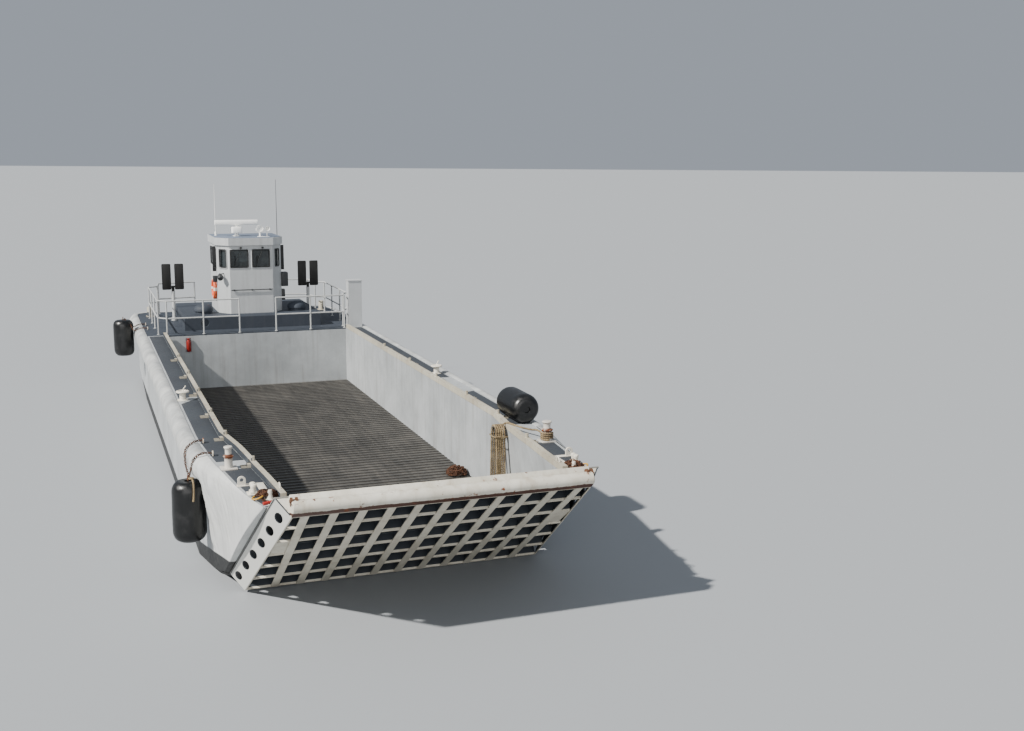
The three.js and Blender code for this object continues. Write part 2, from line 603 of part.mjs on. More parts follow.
function bowGear(side) {
  const span = (x0, x1, near, far, z0, z1) => {
    const [a, b] = [side * near, side * far].sort((p, q) => p - q);
    return block(x0, x1, a, b, DECK_Z + z0, DECK_Z + z1);
  };
  const doubler = join(
    span(9240, 10440, 2290, 2400, GAP, 14),
    span(9240, 9340, 2390, 2680, GAP, 14),
    span(CHOCK.x - 100, CHOCK.x + 100, 2390, CHOCK.far + 20, GAP, 14));
  const { x, thick, near, far, high, eyeZ, eye } = PADEYE;
  const eyeY = (side * (near + far)) / 2;
  const padeye = cut(span(x, x + thick, near, far, 10, high),
    rod([x - 10, eyeY, DECK_Z + eyeZ], [x + 40, eyeY, DECK_Z + eyeZ], eye, 10));
  const horn = (offset) => rod([CHOCK.x + offset, side * CHOCK.near, DECK_Z + CHOCK.high - 55],
    [CHOCK.x + offset, side * CHOCK.far, DECK_Z + CHOCK.high - 55], 52, 12);
  const chock = join(
    span(CHOCK.x - CHOCK.long, CHOCK.x + CHOCK.long, CHOCK.near, CHOCK.far, 10, 60),
    horn(-48), horn(48));
  const post = rod([10120, side * 2330, DECK_Z + 10], [10120, side * 2330, DECK_Z + 140], 45, 12, 26);
  const barZ = DECK_Z + LOCK_BAR.z;
  const bar = join(
    rod([LOCK_BAR.x, side * LOCK_BAR.near, barZ], [LOCK_BAR.x, side * LOCK_BAR.far, barZ], LOCK_BAR.radius, 10),
    span(LOCK_BAR.x - 20, LOCK_BAR.x + 20, 2300, 2360, 10, LOCK_BAR.z));
  return join(doubler, padeye, chock, post, bar);
}

// A foam-filled fender as a turned body standing on end
function fenderProfile(radius, long) {
  const round = Math.min(radius, long / 3);
  const lower = [[0, 0], [radius * 0.55, 0], [radius * 0.85, round * 0.25], [radius, round * 0.75]];
  return [...lower, ...lower.map(([r, z]) => [r, long - z]).reverse()];
}

// The port fender lies on the side deck, along its guard
function lyingFender() {
  const [aft, y] = [5925, 2800];
  const points = fenderProfile(FENDER.radius, FENDER.long).map(([r, h]) => new THREE.Vector2(r, h));
  const geometry = new THREE.LatheGeometry(points, 20);
  geometry.rotateZ(-Math.PI / 2);
  geometry.translate(aft, y, DECK_Z + FENDER.radius + GAP);
  return solid(geometry);
}

function lifeRing() {
  const geometry = new THREE.TorusGeometry(255, 55, 6, 16);
  geometry.rotateX(Math.PI / 2);
  geometry.translate(-7950, -900 - 55 * Math.cos(Math.PI / 6) - GAP, 3900);
  return solid(geometry);
}

// A rudder blade on its stock
function rudder(side) {
  const y = side * SHAFT.y;
  const front = [[280, 0], [210, 34], [50, 45], [-320, 8]];
  const blade = [...front, ...front.slice(1).map(([ahead, half]) => [ahead, -half]).reverse()]
    .map(([ahead, half]) => [RUDDER.x + ahead, y + half]);
  const stock = rod([RUDDER.x, y, RUDDER.high - 10], [RUDDER.x, y, RUDDER.top], RUDDER.stock, 14);
  return prism("z", blade, RUDDER.low, RUDDER.high).add(stock);
}

// A four-bladed screw on its shaft
function screw(side) {
  const y = side * SHAFT.y;
  let body = rod([SCREW.x - 100, y, SHAFT.z], [SCREW.x + 100, y, SHAFT.z], 62, 14, 85)
    .add(rod([SHAFT.aft, y, SHAFT.z], [SHAFT.front, y, SHAFT.z], SHAFT.radius, 16));
  const rising = [[55, 60], [125, 200], [135, 300], [80, 400]];
  const outline = [...rising, [0, SCREW.tip], ...rising.map(([a, b]) => [-a, b]).reverse()];
  const shape = new THREE.Shape(outline.map(([a, b]) => new THREE.Vector2(a, b)));
  for (let blade = 0; blade < 4; blade++) {
    const geometry = new THREE.ExtrudeGeometry(shape, { depth: SCREW.thick, bevelEnabled: false });
    geometry.translate(0, 0, -SCREW.thick / 2);
    geometry.rotateY(Math.PI / 2 + side * SCREW.twist);
    geometry.rotateX(Math.PI / 2 + (blade * Math.PI) / 2);
    geometry.translate(SCREW.x, y, SHAFT.z);
    body = body.add(solid(geometry));
  }
  return body;
}

// The shaft that carries the ramp, with the lugs that hold it to the sill
function hingeShaft() {
  const pin = rampPoint(HINGE.x, HINGE.z);
  let body = rod([pin.x, -2380, pin.z], [pin.x, 2380, pin.z], HINGE.pin, 12);
  for (const y of LUG_YS) {
    body = body.add(rod([pin.x, y - 40, pin.z], [pin.x, y + 40, pin.z], HINGE.boss, 12));
    body = body.add(block(SILL_X + GAP, pin.x, y - 40, y + 40, pin.z - 20, pin.z + 40));
  }
  return body;
}

// Half width of the ramp's outer face at a distance up its slope
function rampHalf(x) {
  return RAMP_HALF_FOOT + ((RAMP_HALF_TOP - RAMP_HALF_FOOT) * x) / RAMP_LONG;
}

// The driving plate with the knuckles that turn on the hinge shaft
function rampPlate() {
  const z = RAMP_DEEP - RAMP_SKIN;
  const [foot, top] = [0, RAMP_LONG].map((x) => rampHalf(x) + RAMP_LEAN);
  let plate = prism("z", [[0, -foot], [RAMP_LONG, -top], [RAMP_LONG, top], [0, foot]], z + GAP, RAMP_DEEP);
  for (const y of KNUCKLE_YS) {
    plate = plate.add(rod([HINGE.x, y - 40, HINGE.z], [HINGE.x, y + 40, HINGE.z], HINGE.boss + 3, 12));
    plate = plate.add(block(HINGE.x - 38, HINGE.x + 60, y - 40, y + 40, z + 5, HINGE.z - 15));
  }
  for (let x = CLEAT.foot; x < RAMP_LONG - CLEAT.wide; x += CLEAT.pitch) {
    plate = plate.add(
      block(x, x + CLEAT.wide, -CLEAT.half, CLEAT.half, RAMP_DEEP - 5, RAMP_DEEP + CLEAT.high));
  }
  return cut(plate, rod([HINGE.x, -2500, HINGE.z], [HINGE.x, 2500, HINGE.z], HINGE.pin + 1.5, 12));
}

// The outer frame: flanged uprights and cross bars between two holed side plates
const UPRIGHT = { count: 11, first: -2015, pitch: 403, flange: 60, web: 8 };
const CROSSBAR = { pitch: 590, half: 18 };
const OVAL = { count: 6, first: 253, pitch: 573, high: 185, fall: 11, radius: 64, stretch: 2.3 };

function rampFrame() {
  const deep = RAMP_DEEP - RAMP_SKIN;
  const leaning = (RAMP_LEAN * deep) / RAMP_DEEP;
  const pieces = [];
  for (let k = 0; k < UPRIGHT.count; k++) {
    const y = UPRIGHT.first + UPRIGHT.pitch * k;
    pieces.push(
      block(0, RAMP_LONG, y - UPRIGHT.flange, y + UPRIGHT.flange, 0, 16),
      block(0, RAMP_LONG, y - UPRIGHT.web, y + UPRIGHT.web, 10, deep));
  }
  for (let x = 0; x < RAMP_LONG; x += CROSSBAR.pitch) {
    const half = rampHalf(x) - 10;
    const start = Math.max(x - CROSSBAR.half, 0);
    pieces.push(block(start, start + 2 * CROSSBAR.half, -half, half, 4, deep - 20));
  }
  const topHalf = rampHalf(RAMP_LONG) - 5;
  pieces.push(block(RAMP_LONG - 20, RAMP_LONG, -topHalf, topHalf, 2, deep));
  // The edge bays beside the third and fourth cross bars are plated over
  const [low, high] = [3 * CROSSBAR.pitch, 4 * CROSSBAR.pitch];
  const plated = rampHalf(high) - 5;
  const pipe = { x: low + 118, half: rampHalf(low) - 10, z: 120 };
  pieces.push(rod([pipe.x, -pipe.half, pipe.z], [pipe.x, pipe.half, pipe.z], 11, 6));
  for (const side of [-1, 1]) {
    const [near, far] = [side * -UPRIGHT.first, side * plated].sort((a, b) => a - b);
    pieces.push(block(low, high, near, far, 20, 28));
    let plate = loft([0, RAMP_LONG].map((x) => {
      const edge = rampHalf(x);
      return [[edge, 0], [edge + leaning, deep], [edge + leaning - 22, deep], [edge - 22, 0]]
        .map(([y, z]) => [x, side * y, z]);
    }));
    for (let k = 0; k < OVAL.count; k++) {
      const oval = new THREE.CylinderGeometry(OVAL.radius, OVAL.radius, 600, 12);
      oval.scale(OVAL.stretch, 1, 1);
      const x = OVAL.first + OVAL.pitch * k;
      oval.translate(x, side * rampHalf(x), OVAL.high - OVAL.fall * k);
      plate = plate.subtract(solid(oval));
    }
    pieces.push(plate);
  }
  return join(...pieces);
}

// The pipe along the ramp's top edge on its backing bar, with a lug at each end
function rampBeam() {
  const half = RAMP_HALF_TOP;
  const pipe = { x: 3585, z: 98, radius: 100 };
  let beam = rod([pipe.x, -half, pipe.z], [pipe.x, half, pipe.z], pipe.radius, 16)
    .add(block(RAMP_LONG + GAP, 3560, -half, half, 0, RAMP_DEEP - 12));
  for (const y of [-2150, 2150]) {
    const lug = block(3540, 3690, y - 20, y + 20, 170, 290);
    beam = beam.add(cut(lug, rod([3645, y - 60, 235], [3645, y + 60, 235], 26, 10)));
  }
  return beam;
}

// The hank of mooring rope over the rim, and its turns on the post, as plain bodies
function ropeHank() {
  const wall = at(PLAN, "well", HANK.x + HANK.half) - 4;
  const rim = at(PLAN, "well", HANK.x) + COAMING_WIDE;
  const overRim = DECK_Z + COAMING_HIGH + GAP;
  const top = overRim + 2 * ROPE_RADIUS + 2;
  const outline = new THREE.Shape();
  outline.absarc(HANK.x, HANK.top - HANK.half, HANK.half, 0, Math.PI);
  outline.absarc(HANK.x, HANK.low + HANK.half, HANK.half, Math.PI, 2 * Math.PI);
  const points = outline.getPoints(6).map((point) => [point.x, point.y]);
  return prism("y", points, wall - HANK.deep, wall)
    .add(block(HANK.x - 70, HANK.x + 70, wall - 50, wall, HANK.top - 60, top))
    .add(block(HANK.x - 70, HANK.x + 70, wall - 50, rim, overRim, top));
}

function ropeTurns() {
  const { x, y, stub } = BITT;
  const outer = stub + 2 * ROPE_RADIUS + 1.5;
  const from = DECK_Z + 24;
  const leave = y - stub - ROPE_RADIUS - 1;
  const ring = rod([x, y, from], [x, y, TURNS_TOP], outer, 20)
    .add(block(x - 130, x, leave - ROPE_RADIUS, leave + ROPE_RADIUS, TURNS_TOP - 42, TURNS_TOP));
  return cut(ring, rod([x, y, DECK_Z], [x, y, TURNS_TOP + 10], stub + 0.5, 14));
}

// The rope between them, along points chosen by hand
function ropeLead() {
  const fromHank = HANK.x + 70 + GAP;
  const toPost = BITT.x - 130 - GAP;
  const points = [
    [fromHank, 2361, 2969], [fromHank + 42, 2361, 2969], [7420, 2394, 2970], [7600, 2455, 2962],
    [7850, 2530, 2974], [toPost - 42, 2561, 3010], [toPost, 2561, 3010],
  ];
  const curve = new THREE.CatmullRomCurve3(points.map((point) => new THREE.Vector3(...point)));
  const section = new THREE.Shape();
  section.absarc(0, 0, ROPE_RADIUS, 0, 2 * Math.PI);
  const geometry = new THREE.ExtrudeGeometry(section, { steps: 16, extrudePath: curve, curveSegments: 4 });
  return solid(geometry);
}

// An aerial standing on the roof, and one held off the house's side by a bracket
function roofWhip() {
  const [x, y, foot] = [-8400, -800, 5480];
  return rod([x, y, HOUSE_ROOF_TOP + GAP], [x, y, foot], 28, 8)
    .add(rod([x, y, foot - 10], [x, y, 6850], WHIP_RADIUS, 8));
}

function sideWhip() {
  const [x, y, foot] = [-8500, 980, 5060];
  return block(x - 30, x + 30, 900 + GAP, y + 20, foot, foot + 50)
    .add(rod([x, y, foot], [x, y, 6980], WHIP_RADIUS, 8));
}

function engine(side) {
  const { aft, front, half, low, high } = ENGINE;
  return block(aft, front, side * SHAFT.y - half, side * SHAFT.y + half, low + GAP, high);
}

// A fender hanging against the starboard guard
function hangingFender(x, y, low) {
  return turned(fenderProfile(FENDER.radius, FENDER.long), x, y, low, 20);
}

add("hull_bottom", bottomShell(), "bottom_paint");
add("after_hull", afterHull(), "hull_paint");
add("after_deck", afterDeck(), "deck_paint");
add("aft_hatch_lid", hatchLid(), "deck_paint");
add("well_bulkhead", wellBulkhead(), "hull_paint");
add("well_floor", wellFloor(), "worn_floor");
add("guard_stern", sternGuard(), "hull_paint");
for (const [name, side, ventX, ventY] of [["stbd", -1, 2720, 2840], ["port", 1, 1560, 2770]]) {
  add(`wing_${name}`, wing(side), "hull_paint");
  add(`guard_${name}`, sideGuard(side), "hull_paint");
  add(`coaming_${name}`, coaming(side), "hull_paint");
  add(`rails_${name}`, rails(side), "hull_paint");
  add(`dome_vent_${name}`, domeVent(side), "deck_paint");
  add(`shield_post_${name}`, shieldPost(side), "hull_paint");
  add(`shield_head_${name}`, shieldHead(side), "black_paint");
  add(`bollard_${name}`, bollard(side), "hull_paint");
  add(`bow_gear_${name}`, bowGear(side), "white_paint");
  add(`bitt_${name}`, bitt(side), "hull_paint");
  add(`mushroom_vent_${name}`, mushroomVent(ventX, side * ventY), "white_paint");
  add(`engine_${name}`, engine(side), "engine_paint");
  add(`rudder_${name}`, rudder(side), "bottom_paint");
  add(`screw_${name}`, screw(side), "bronze");
}
add("engine_trunk", engineTrunk(), "deck_paint");
add("house_walls", houseWalls(), "hull_paint");
add("house_door", houseDoor(), "hull_paint");
add("house_glass", houseGlass(), "window_pane");
add("house_roof", prism("z", housePlan(-50), HOUSE_WALL_TOP + GAP, HOUSE_ROOF_TOP), "hull_paint");
add("radar_pedestal", radarPedestal(), "white_paint");
add("radar_array", radarArray(), "white_paint");
add("searchlight_base", searchlightBase(), "hull_paint");
add("searchlight_head", searchlightHead(), "white_paint");
add("whip_stbd", roofWhip(), "white_paint");
add("whip_port", sideWhip(), "black_paint");
add("port_locker", locker(), "hull_paint");
add("life_ring", lifeRing(), "ring_foam");
add("fender_fore", hangingFender(7150, -3163.7, 1275), "fender_rubber");
add("fender_aft", hangingFender(-7880, -3485.3, 1960), "fender_rubber");
add("fender_port", lyingFender(), "fender_rubber");
add("hinge_shaft", hingeShaft(), "bare_steel");
add("ramp_plate", rampPlate(), "worn_floor", ramp);
add("ramp_frame", rampFrame(), "ramp_paint", ramp);
add("ramp_beam", rampBeam(), "white_paint", ramp);
add("rope_hank", ropeHank(), "rope_fibre");
add("rope_turns", ropeTurns(), "rope_fibre");
add("rope_lead", ropeLead(), "rope_fibre");

export default craft;
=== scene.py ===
import random
from math import cos, pi, radians, sin

import bmesh
import bpy
from mathutils import Matrix, Vector, noise


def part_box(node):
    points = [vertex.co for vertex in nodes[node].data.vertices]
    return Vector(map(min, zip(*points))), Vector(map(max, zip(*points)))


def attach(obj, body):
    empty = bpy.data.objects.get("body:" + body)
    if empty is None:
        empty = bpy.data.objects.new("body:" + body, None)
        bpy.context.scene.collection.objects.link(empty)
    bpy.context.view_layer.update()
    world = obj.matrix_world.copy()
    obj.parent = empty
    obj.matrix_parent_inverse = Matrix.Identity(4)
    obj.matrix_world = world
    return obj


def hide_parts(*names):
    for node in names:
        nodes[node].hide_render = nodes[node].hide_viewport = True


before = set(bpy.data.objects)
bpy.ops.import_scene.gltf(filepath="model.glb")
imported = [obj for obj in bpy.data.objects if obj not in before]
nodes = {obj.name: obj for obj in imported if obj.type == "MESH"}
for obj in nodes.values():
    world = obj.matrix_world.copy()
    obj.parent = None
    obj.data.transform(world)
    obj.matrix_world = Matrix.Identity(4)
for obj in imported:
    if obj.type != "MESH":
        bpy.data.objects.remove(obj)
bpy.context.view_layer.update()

# The view
# The craft is seen from ahead and a little to starboard, from the height of a ship's rail, looking aft
# and down over the ramp. The lens is given by its focal length in the picture's own pixels.
EYE = Vector((25.876, -4.757, 7.554))
YAW, PITCH, ROLL = radians(21.017), radians(10.076), radians(0.371)
FOCAL_PIXELS, PICTURE_WIDE, SENSOR = 1150, 1024, 36


def shown(name, data):
    """An object of its own in the scene."""
    thing = bpy.data.objects.new(name, data)
    bpy.context.scene.collection.objects.link(thing)
    return thing


sight = Vector((-cos(YAW) * cos(PITCH), sin(YAW) * cos(PITCH), -sin(PITCH)))
level = sight.cross(Vector((0, 0, 1))).normalized()
upright = level.cross(sight)
right = level * cos(ROLL) + upright * sin(ROLL)
above = upright * cos(ROLL) - level * sin(ROLL)
camera = shown("view", bpy.data.cameras.new("view"))
camera.data.sensor_width = SENSOR
camera.data.lens = SENSOR * FOCAL_PIXELS / PICTURE_WIDE
camera.matrix_world = Matrix.Translation(EYE) @ Matrix((right, above, -sight)).transposed().to_4x4()
bpy.context.scene.camera = camera

# Mooring rope
# A three-strand fibre rope, 36 mm thick: turns on the port mooring post, a lead over the well's rim, and
# the rest hung in loops from a steel peg welded to the rim, with a light cord lashed round the loops.
ROPE_THICK, ROPE_LAY, ROPE_STEP = 0.036, 0.126, 0.012
TURNS = {"x": 8.25, "y": 2.66, "radius": 0.099, "degrees": 1170, "low": 2.892, "high": 3.010}
LEAD = [
    (8.12, 2.561, 3.010), (8.078, 2.561, 3.010), (7.85, 2.530, 2.974), (7.6, 2.455, 2.962),
    (7.42, 2.394, 2.970), (7.262, 2.361, 2.969), (7.220, 2.361, 2.969), (7.19, 2.338, 2.968),
    (7.155, 2.312, 2.955),
]
LOOPS = {"x": 7.15, "half": 0.122, "low": 1.888, "high": 2.930, "y": 2.290, "step": 0.037, "count": 5.45}


def tone(red, green, blue):
    """A colour as a painter would match it on a screen, 0 to 255, as the linear colour that light uses."""
    shares = [value / 255 for value in (red, green, blue)]
    linear = [share / 12.92 if share < 0.04045 else ((share + 0.055) / 1.055) ** 2.4 for share in shares]
    return (*linear, 1.0)


def put(tree, kind, inputs=None, **options):
    """Adds a shader node with its options, and fills its inputs with values or other nodes' outputs."""
    node = tree.nodes.new(kind)
    for option, value in options.items():
        setattr(node, option, value)
    for socket, value in (inputs or {}).items():
        if isinstance(value, bpy.types.Node):
            value = value.outputs[0]
        if isinstance(value, bpy.types.NodeSocket):
            tree.links.new(value, node.inputs[socket])
        else:
            node.inputs[socket].default_value = value
    return node


def blended(tree, share, first, second):
    """Two colours mixed by a share."""
    mixer = put(tree, "ShaderNodeMix", {0: share, 6: first, 7: second}, data_type="RGBA")
    return mixer.outputs[2]


def step_up(tree, value, low, high):
    """Nought below low, one above high, and a straight rise between them."""
    return put(tree, "ShaderNodeMapRange", {"Value": value, "From Min": low, "From Max": high}).outputs[0]


def speckle(tree, where, scale, detail=4.0, rough=0.6):
    """Cloudy noise at a number of clouds per metre."""
    settings = {"Vector": where, "Scale": scale, "Detail": detail, "Roughness": rough}
    return put(tree, "ShaderNodeTexNoise", settings).outputs[0]


def new_finish(name, **constants):
    """An empty material: its tree, its shader and the place on the surface. Constants go on the shader."""
    finish = bpy.data.materials.new(name)
    finish.use_nodes = True
    tree = finish.node_tree
    tree.nodes.clear()
    shader = put(tree, "ShaderNodeBsdfPrincipled", {key.replace("_", " "): v for key, v in constants.items()})
    put(tree, "ShaderNodeOutputMaterial", {"Surface": shader})
    where = put(tree, "ShaderNodeTexCoord").outputs["Object"]
    return finish, tree, shader, where


def wire(tree, shader, color=None, roughness=None, height=None, normal=None, distance=1.0):
    """Leads colour, roughness and relief into a shader."""
    if color is not None:
        tree.links.new(color, shader.inputs["Base Color"])
    if roughness is not None:
        tree.links.new(roughness, shader.inputs["Roughness"])
    if height is not None:
        relief = {"Height": height, "Distance": distance}
        if normal is not None:
            relief["Normal"] = normal
        normal = put(tree, "ShaderNodeBump", relief).outputs[0]
    if normal is not None:
        tree.links.new(normal, shader.inputs["Normal"])


def laid_fibre(name, pale, dark):
    """Sun-bleached rope: pale crowns, dirt between the strands and fine yarns."""
    finish, tree, shader, where = new_finish(name)
    cloud = speckle(tree, where, 9.0)
    yarn = speckle(tree, where, 420.0, detail=2.0)
    color = blended(tree, step_up(tree, cloud, 0.35, 0.65), tone(*dark), tone(*pale))
    color = blended(tree, step_up(tree, yarn, 0.62, 0.4), tone(*[part * 0.55 for part in dark]), color)
    wire(tree, shader, color, step_up(tree, cloud, -2.5, 0.7), yarn, distance=0.003)
    return finish


def smooth_line(knots, step):
    """A smooth line through the knots, as points an even step apart."""
    knots = [Vector(knot) for knot in knots]
    spans = [(after - before).length for before, after in zip(knots, knots[1:])]
    leans = [(knots[1] - knots[0]) / spans[0]]
    for k in range(1, len(knots) - 1):
        behind, ahead = spans[k - 1], spans[k]
        arriving = (knots[k] - knots[k - 1]) / behind
        leaving = (knots[k + 1] - knots[k]) / ahead
        leans.append((arriving * ahead + leaving * behind) / (behind + ahead))
    leans.append((knots[-1] - knots[-2]) / spans[-1])
    fine = []
    for k, span in enumerate(spans):
        count = max(2, round(2 * span / step))
        for j in range(count):
            t = j / count
            start, end = knots[k], knots[k + 1]
            fine.append(start * (1 + 2 * t) * (1 - t) ** 2 + end * t * t * (3 - 2 * t)
                        + leans[k] * span * t * (1 - t) ** 2 + leans[k + 1] * span * t * t * (t - 1))
    fine.append(knots[-1])
    line, ahead = [fine[0]], step
    for before, after in zip(fine, fine[1:]):
        reach = (after - before).length
        while ahead <= reach:
            line.append(before.lerp(after, ahead / reach))
            ahead += step
        ahead -= reach
    return line


def ring_of(radius, sides):
    """A round section."""
    return [(radius * cos(2 * pi * k / sides), radius * sin(2 * pi * k / sides)) for k in range(sides)]


def swept(line, section, closed=False, lay=0.0, sizes=None):
    """A skin round a line: the section is carried along it, and turned by lay radians a metre."""
    line = [Vector(point) for point in line]
    count, ring = len(line), len(section)
    corners, faces = [], []
    side, travelled = None, 0.0
    for k, point in enumerate(line):
        before = line[k - 1] if k or closed else point
        after = line[(k + 1) % count] if k + 1 < count or closed else point
        ahead = (after - before).normalized()
        side = ahead.orthogonal() if side is None else side - ahead * side.dot(ahead)
        side.normalize()
        travelled += (point - line[k - 1]).length if k else 0.0
        near = Matrix.Rotation(lay * travelled, 3, ahead) @ side
        size = sizes[k] if sizes else 1.0
        corners += [point + (near * a + ahead.cross(near) * b) * size for a, b in section]
    for k in range(count if closed else count - 1):
        here, there = k * ring, ((k + 1) % count) * ring
        for j in range(ring):
            following = (j + 1) % ring
            faces.append([here + j, here + following, there + following, there + j])
    if not closed:
        faces.append(list(range(ring))[::-1])
        faces.append(list(range((count - 1) * ring, count * ring)))
    return corners, faces


def bar(line, radius, sides=12, **options):
    """A round bar or tube along a line."""
    return swept(line, ring_of(radius, sides), **options)


def joined(*shapes):
    """Several shapes as one."""
    corners, faces = [], []
    for more_corners, more_faces in shapes:
        start = len(corners)
        corners += list(more_corners)
        faces += [[start + corner for corner in face] for face in more_faces]
    return corners, faces


def add_piece(name, shape, finish, body="root", replaces=(), crease=35):
    """One mesh in place, smooth but for its creases, riding on a body of the craft."""
    mesh = bpy.data.meshes.new(name)
    mesh.from_pydata([tuple(corner) for corner in shape[0]], [], shape[1])
    mesh.materials.append(finish)
    mesh.shade_smooth()
    mesh.set_sharp_from_angle(angle=radians(crease))
    piece = shown(name, mesh)
    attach(piece, body)
    if replaces:
        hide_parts(*replaces)
    return piece


def loop_point(share):
    """A point of the hung loops: down the after side, round the bottom and up the fore side."""
    x, half, low, high, y, step, _ = LOOPS.values()
    top, bottom = high - half, low + half
    arc, straight = pi * half, top - bottom
    start = radians(100)
    travelled = (share % 1.0) * 2 * (arc + straight) + (start - pi / 2) * half
    depth = y - step * share
    if travelled < arc / 2:
        turn = pi / 2 + travelled / half
        return (x + half * cos(turn), depth, top + half * sin(turn))
    travelled -= arc / 2
    if travelled < straight:
        return (x - half, depth, top - travelled)
    travelled -= straight
    if travelled < arc:
        turn = pi + travelled / half
        slack = 0.03 * noise.noise(Vector((share // 1.0 * 3.1, 0.7, 0.2)))
        return (x + half * cos(turn), depth, bottom + half * sin(turn) * (1 + slack))
    travelled -= arc
    if travelled < straight:
        return (x + half, depth, bottom + travelled)
    turn = (travelled - straight) / half
    return (x + half * cos(turn), depth, top + half * sin(turn))


WINDING_STEPS, LOOP_STEPS = 80, round(LOOPS["count"] * 40)
rope_knots = []
for k in range(WINDING_STEPS + 1):
    share = k / WINDING_STEPS
    turn = -radians(TURNS["degrees"]) * share
    rope_knots.append((TURNS["x"] + TURNS["radius"] * cos(turn), TURNS["y"] + TURNS["radius"] * sin(turn),
                       TURNS["low"] + (TURNS["high"] - TURNS["low"]) * share))
rope_knots += LEAD
rope_knots += [loop_point(LOOPS["count"] * k / LOOP_STEPS) for k in range(LOOP_STEPS + 1)]
rope_line = smooth_line(rope_knots, ROPE_STEP)
strands = [(ROPE_THICK / 2 * (0.9 + 0.1 * cos(3 * turn)) * cos(turn),
            ROPE_THICK / 2 * (0.9 + 0.1 * cos(3 * turn)) * sin(turn))
           for turn in [2 * pi * k / 18 for k in range(18)]]
rope_fibre = laid_fibre("rope fibre", (186, 164, 124), (118, 100, 74))
rope = add_piece("mooring_rope", swept(rope_line, strands, lay=2 * pi / ROPE_LAY), rope_fibre,
                 replaces=["rope_hank", "rope_turns", "rope_lead"], crease=80)
rope_end = rope_line[-1]
whipping_line = [rope_end + (rope_line[-4] - rope_end) * k / 3 for k in range(4)]
whipping = add_piece("rope_whipping", bar(whipping_line, 0.0195, 14),
                     laid_fibre("whipping twine", (92, 84, 70), (52, 47, 40)))
LASHING = {"half": 0.149, "inner": 2.058, "outer": 2.318, "z": 2.72, "rounds": 2, "rise": 0.018, "steps": 48}
lash_middle, lash_deep = (LASHING["outer"] + LASHING["inner"]) / 2, (LASHING["outer"] - LASHING["inner"]) / 2
lash_line = []
for k in range(LASHING["steps"] + 1):
    rounds = LASHING["rounds"] * k / LASHING["steps"]
    turn = 2 * pi * rounds
    reach = max(abs(cos(turn)), abs(sin(turn))) ** 0.75
    lash_line.append((LOOPS["x"] + LASHING["half"] * cos(turn) / reach,
                      lash_middle + lash_deep * sin(turn) / reach,
                      LASHING["z"] + LASHING["rise"] * rounds + 0.01 * sin(turn / 2)))
lashing = add_piece("rope_lashing", bar(smooth_line(lash_line, 0.01), 0.008, 10), rope_fibre,
                    crease=80)


# Floor and light
# The craft stands in a pale studio whose floor is where the water's surface would be. One warm lamp from
# ahead to starboard throws the shadows that the well's walls and the ramp's holes show, and a low broad
# glow from ahead lights the ramp's outer side as bright water would. The rest is fill.
WATERLINE, FLOOR_HALF = 0.80, 1500.0
# Columns: lamp, strength, breadth in degrees, colour, the way that its light travels
LAMPS = [("sun", 8.0, 1.5, (1.0, 0.965, 0.91), (-0.25, 1.06, -1.0)),
         ("glow", 1.5, 50, (1.0, 0.98, 0.95), (-1.0, 0.25, -0.16))]
floor_mesh = bpy.data.meshes.new("floor")
floor_corners = [(FLOOR_HALF * across, FLOOR_HALF * along, WATERLINE)
                 for across, along in ((-1, -1), (1, -1), (1, 1), (-1, 1))]
floor_mesh.from_pydata(floor_corners, [], [[0, 1, 2, 3]])
floor_finish, _, floor_shader, _ = new_finish("floor", Roughness=0.9)
floor_shader.inputs["Base Color"].default_value = tone(150, 154, 158)
floor_mesh.materials.append(floor_finish)
shown("floor", floor_mesh)
for name, strength, breadth, color, travel in LAMPS:
    lamp = shown(name, bpy.data.lights.new(name, "SUN"))
    lamp.data.energy = strength
    lamp.data.angle = radians(breadth)
    lamp.data.color = color
    lamp.rotation_mode = "QUATERNION"
    lamp.rotation_quaternion = Vector(travel).to_track_quat("-Z", "Y")
world = bpy.data.worlds.new("studio")
world.use_nodes = True
sky = world.node_tree.nodes["Background"].inputs
sky["Color"].default_value = (0.80, 0.88, 1.0, 1.0)
sky["Strength"].default_value = 0.42
bpy.context.scene.world = world

# Hull
# Welded mild-steel plate: a double bottom with the forefoot, two side tanks that lean in over the bow and
# an after hull with the engine room. It is sprayed haze grey over a black bottom, and runs salt and rust.


def sums(tree, operation, first, second=0.0):
    """One sum on two numbers."""
    return put(tree, "ShaderNodeMath", {0: first, 1: second}, operation=operation).outputs[0]


def times(tree, first, second):
    """Two numbers multiplied."""
    return sums(tree, "MULTIPLY", first, second)


def axes(tree, vector):
    """The parts of a vector along X, Y and Z."""
    return put(tree, "ShaderNodeSeparateXYZ", {0: vector}).outputs


def dot(tree, first, second):
    """How far one direction goes along another."""
    return put(tree, "ShaderNodeVectorMath", {0: first, 1: second}, operation="DOT_PRODUCT").outputs["Value"]


def shader_group(name, inputs, outputs):
    """A named effect with its own inputs and outputs, to be placed in any material."""
    tree = bpy.data.node_groups.new(name, "ShaderNodeTree")
    for title, kind, value in inputs:
        socket = tree.interface.new_socket(title, in_out="INPUT", socket_type=f"NodeSocket{kind}")
        socket.default_value = value
    for title, kind in outputs:
        tree.interface.new_socket(title, in_out="OUTPUT", socket_type=f"NodeSocket{kind}")
    given = tree.nodes.new("NodeGroupInput").outputs
    result = tree.nodes.new("NodeGroupOutput").inputs
    where = put(tree, "ShaderNodeTexCoord").outputs["Object"]
    return tree, given, result, where


def placed(tree, group, **values):
    """Places an effect in a material, with its inputs set."""
    node = put(tree, "ShaderNodeGroup", node_tree=group)
    for title, value in values.items():
        socket = node.inputs[title.replace("_", " ")]
        if isinstance(value, bpy.types.NodeSocket):
            tree.links.new(value, socket)
        else:
            socket.default_value = value
    return node.outputs


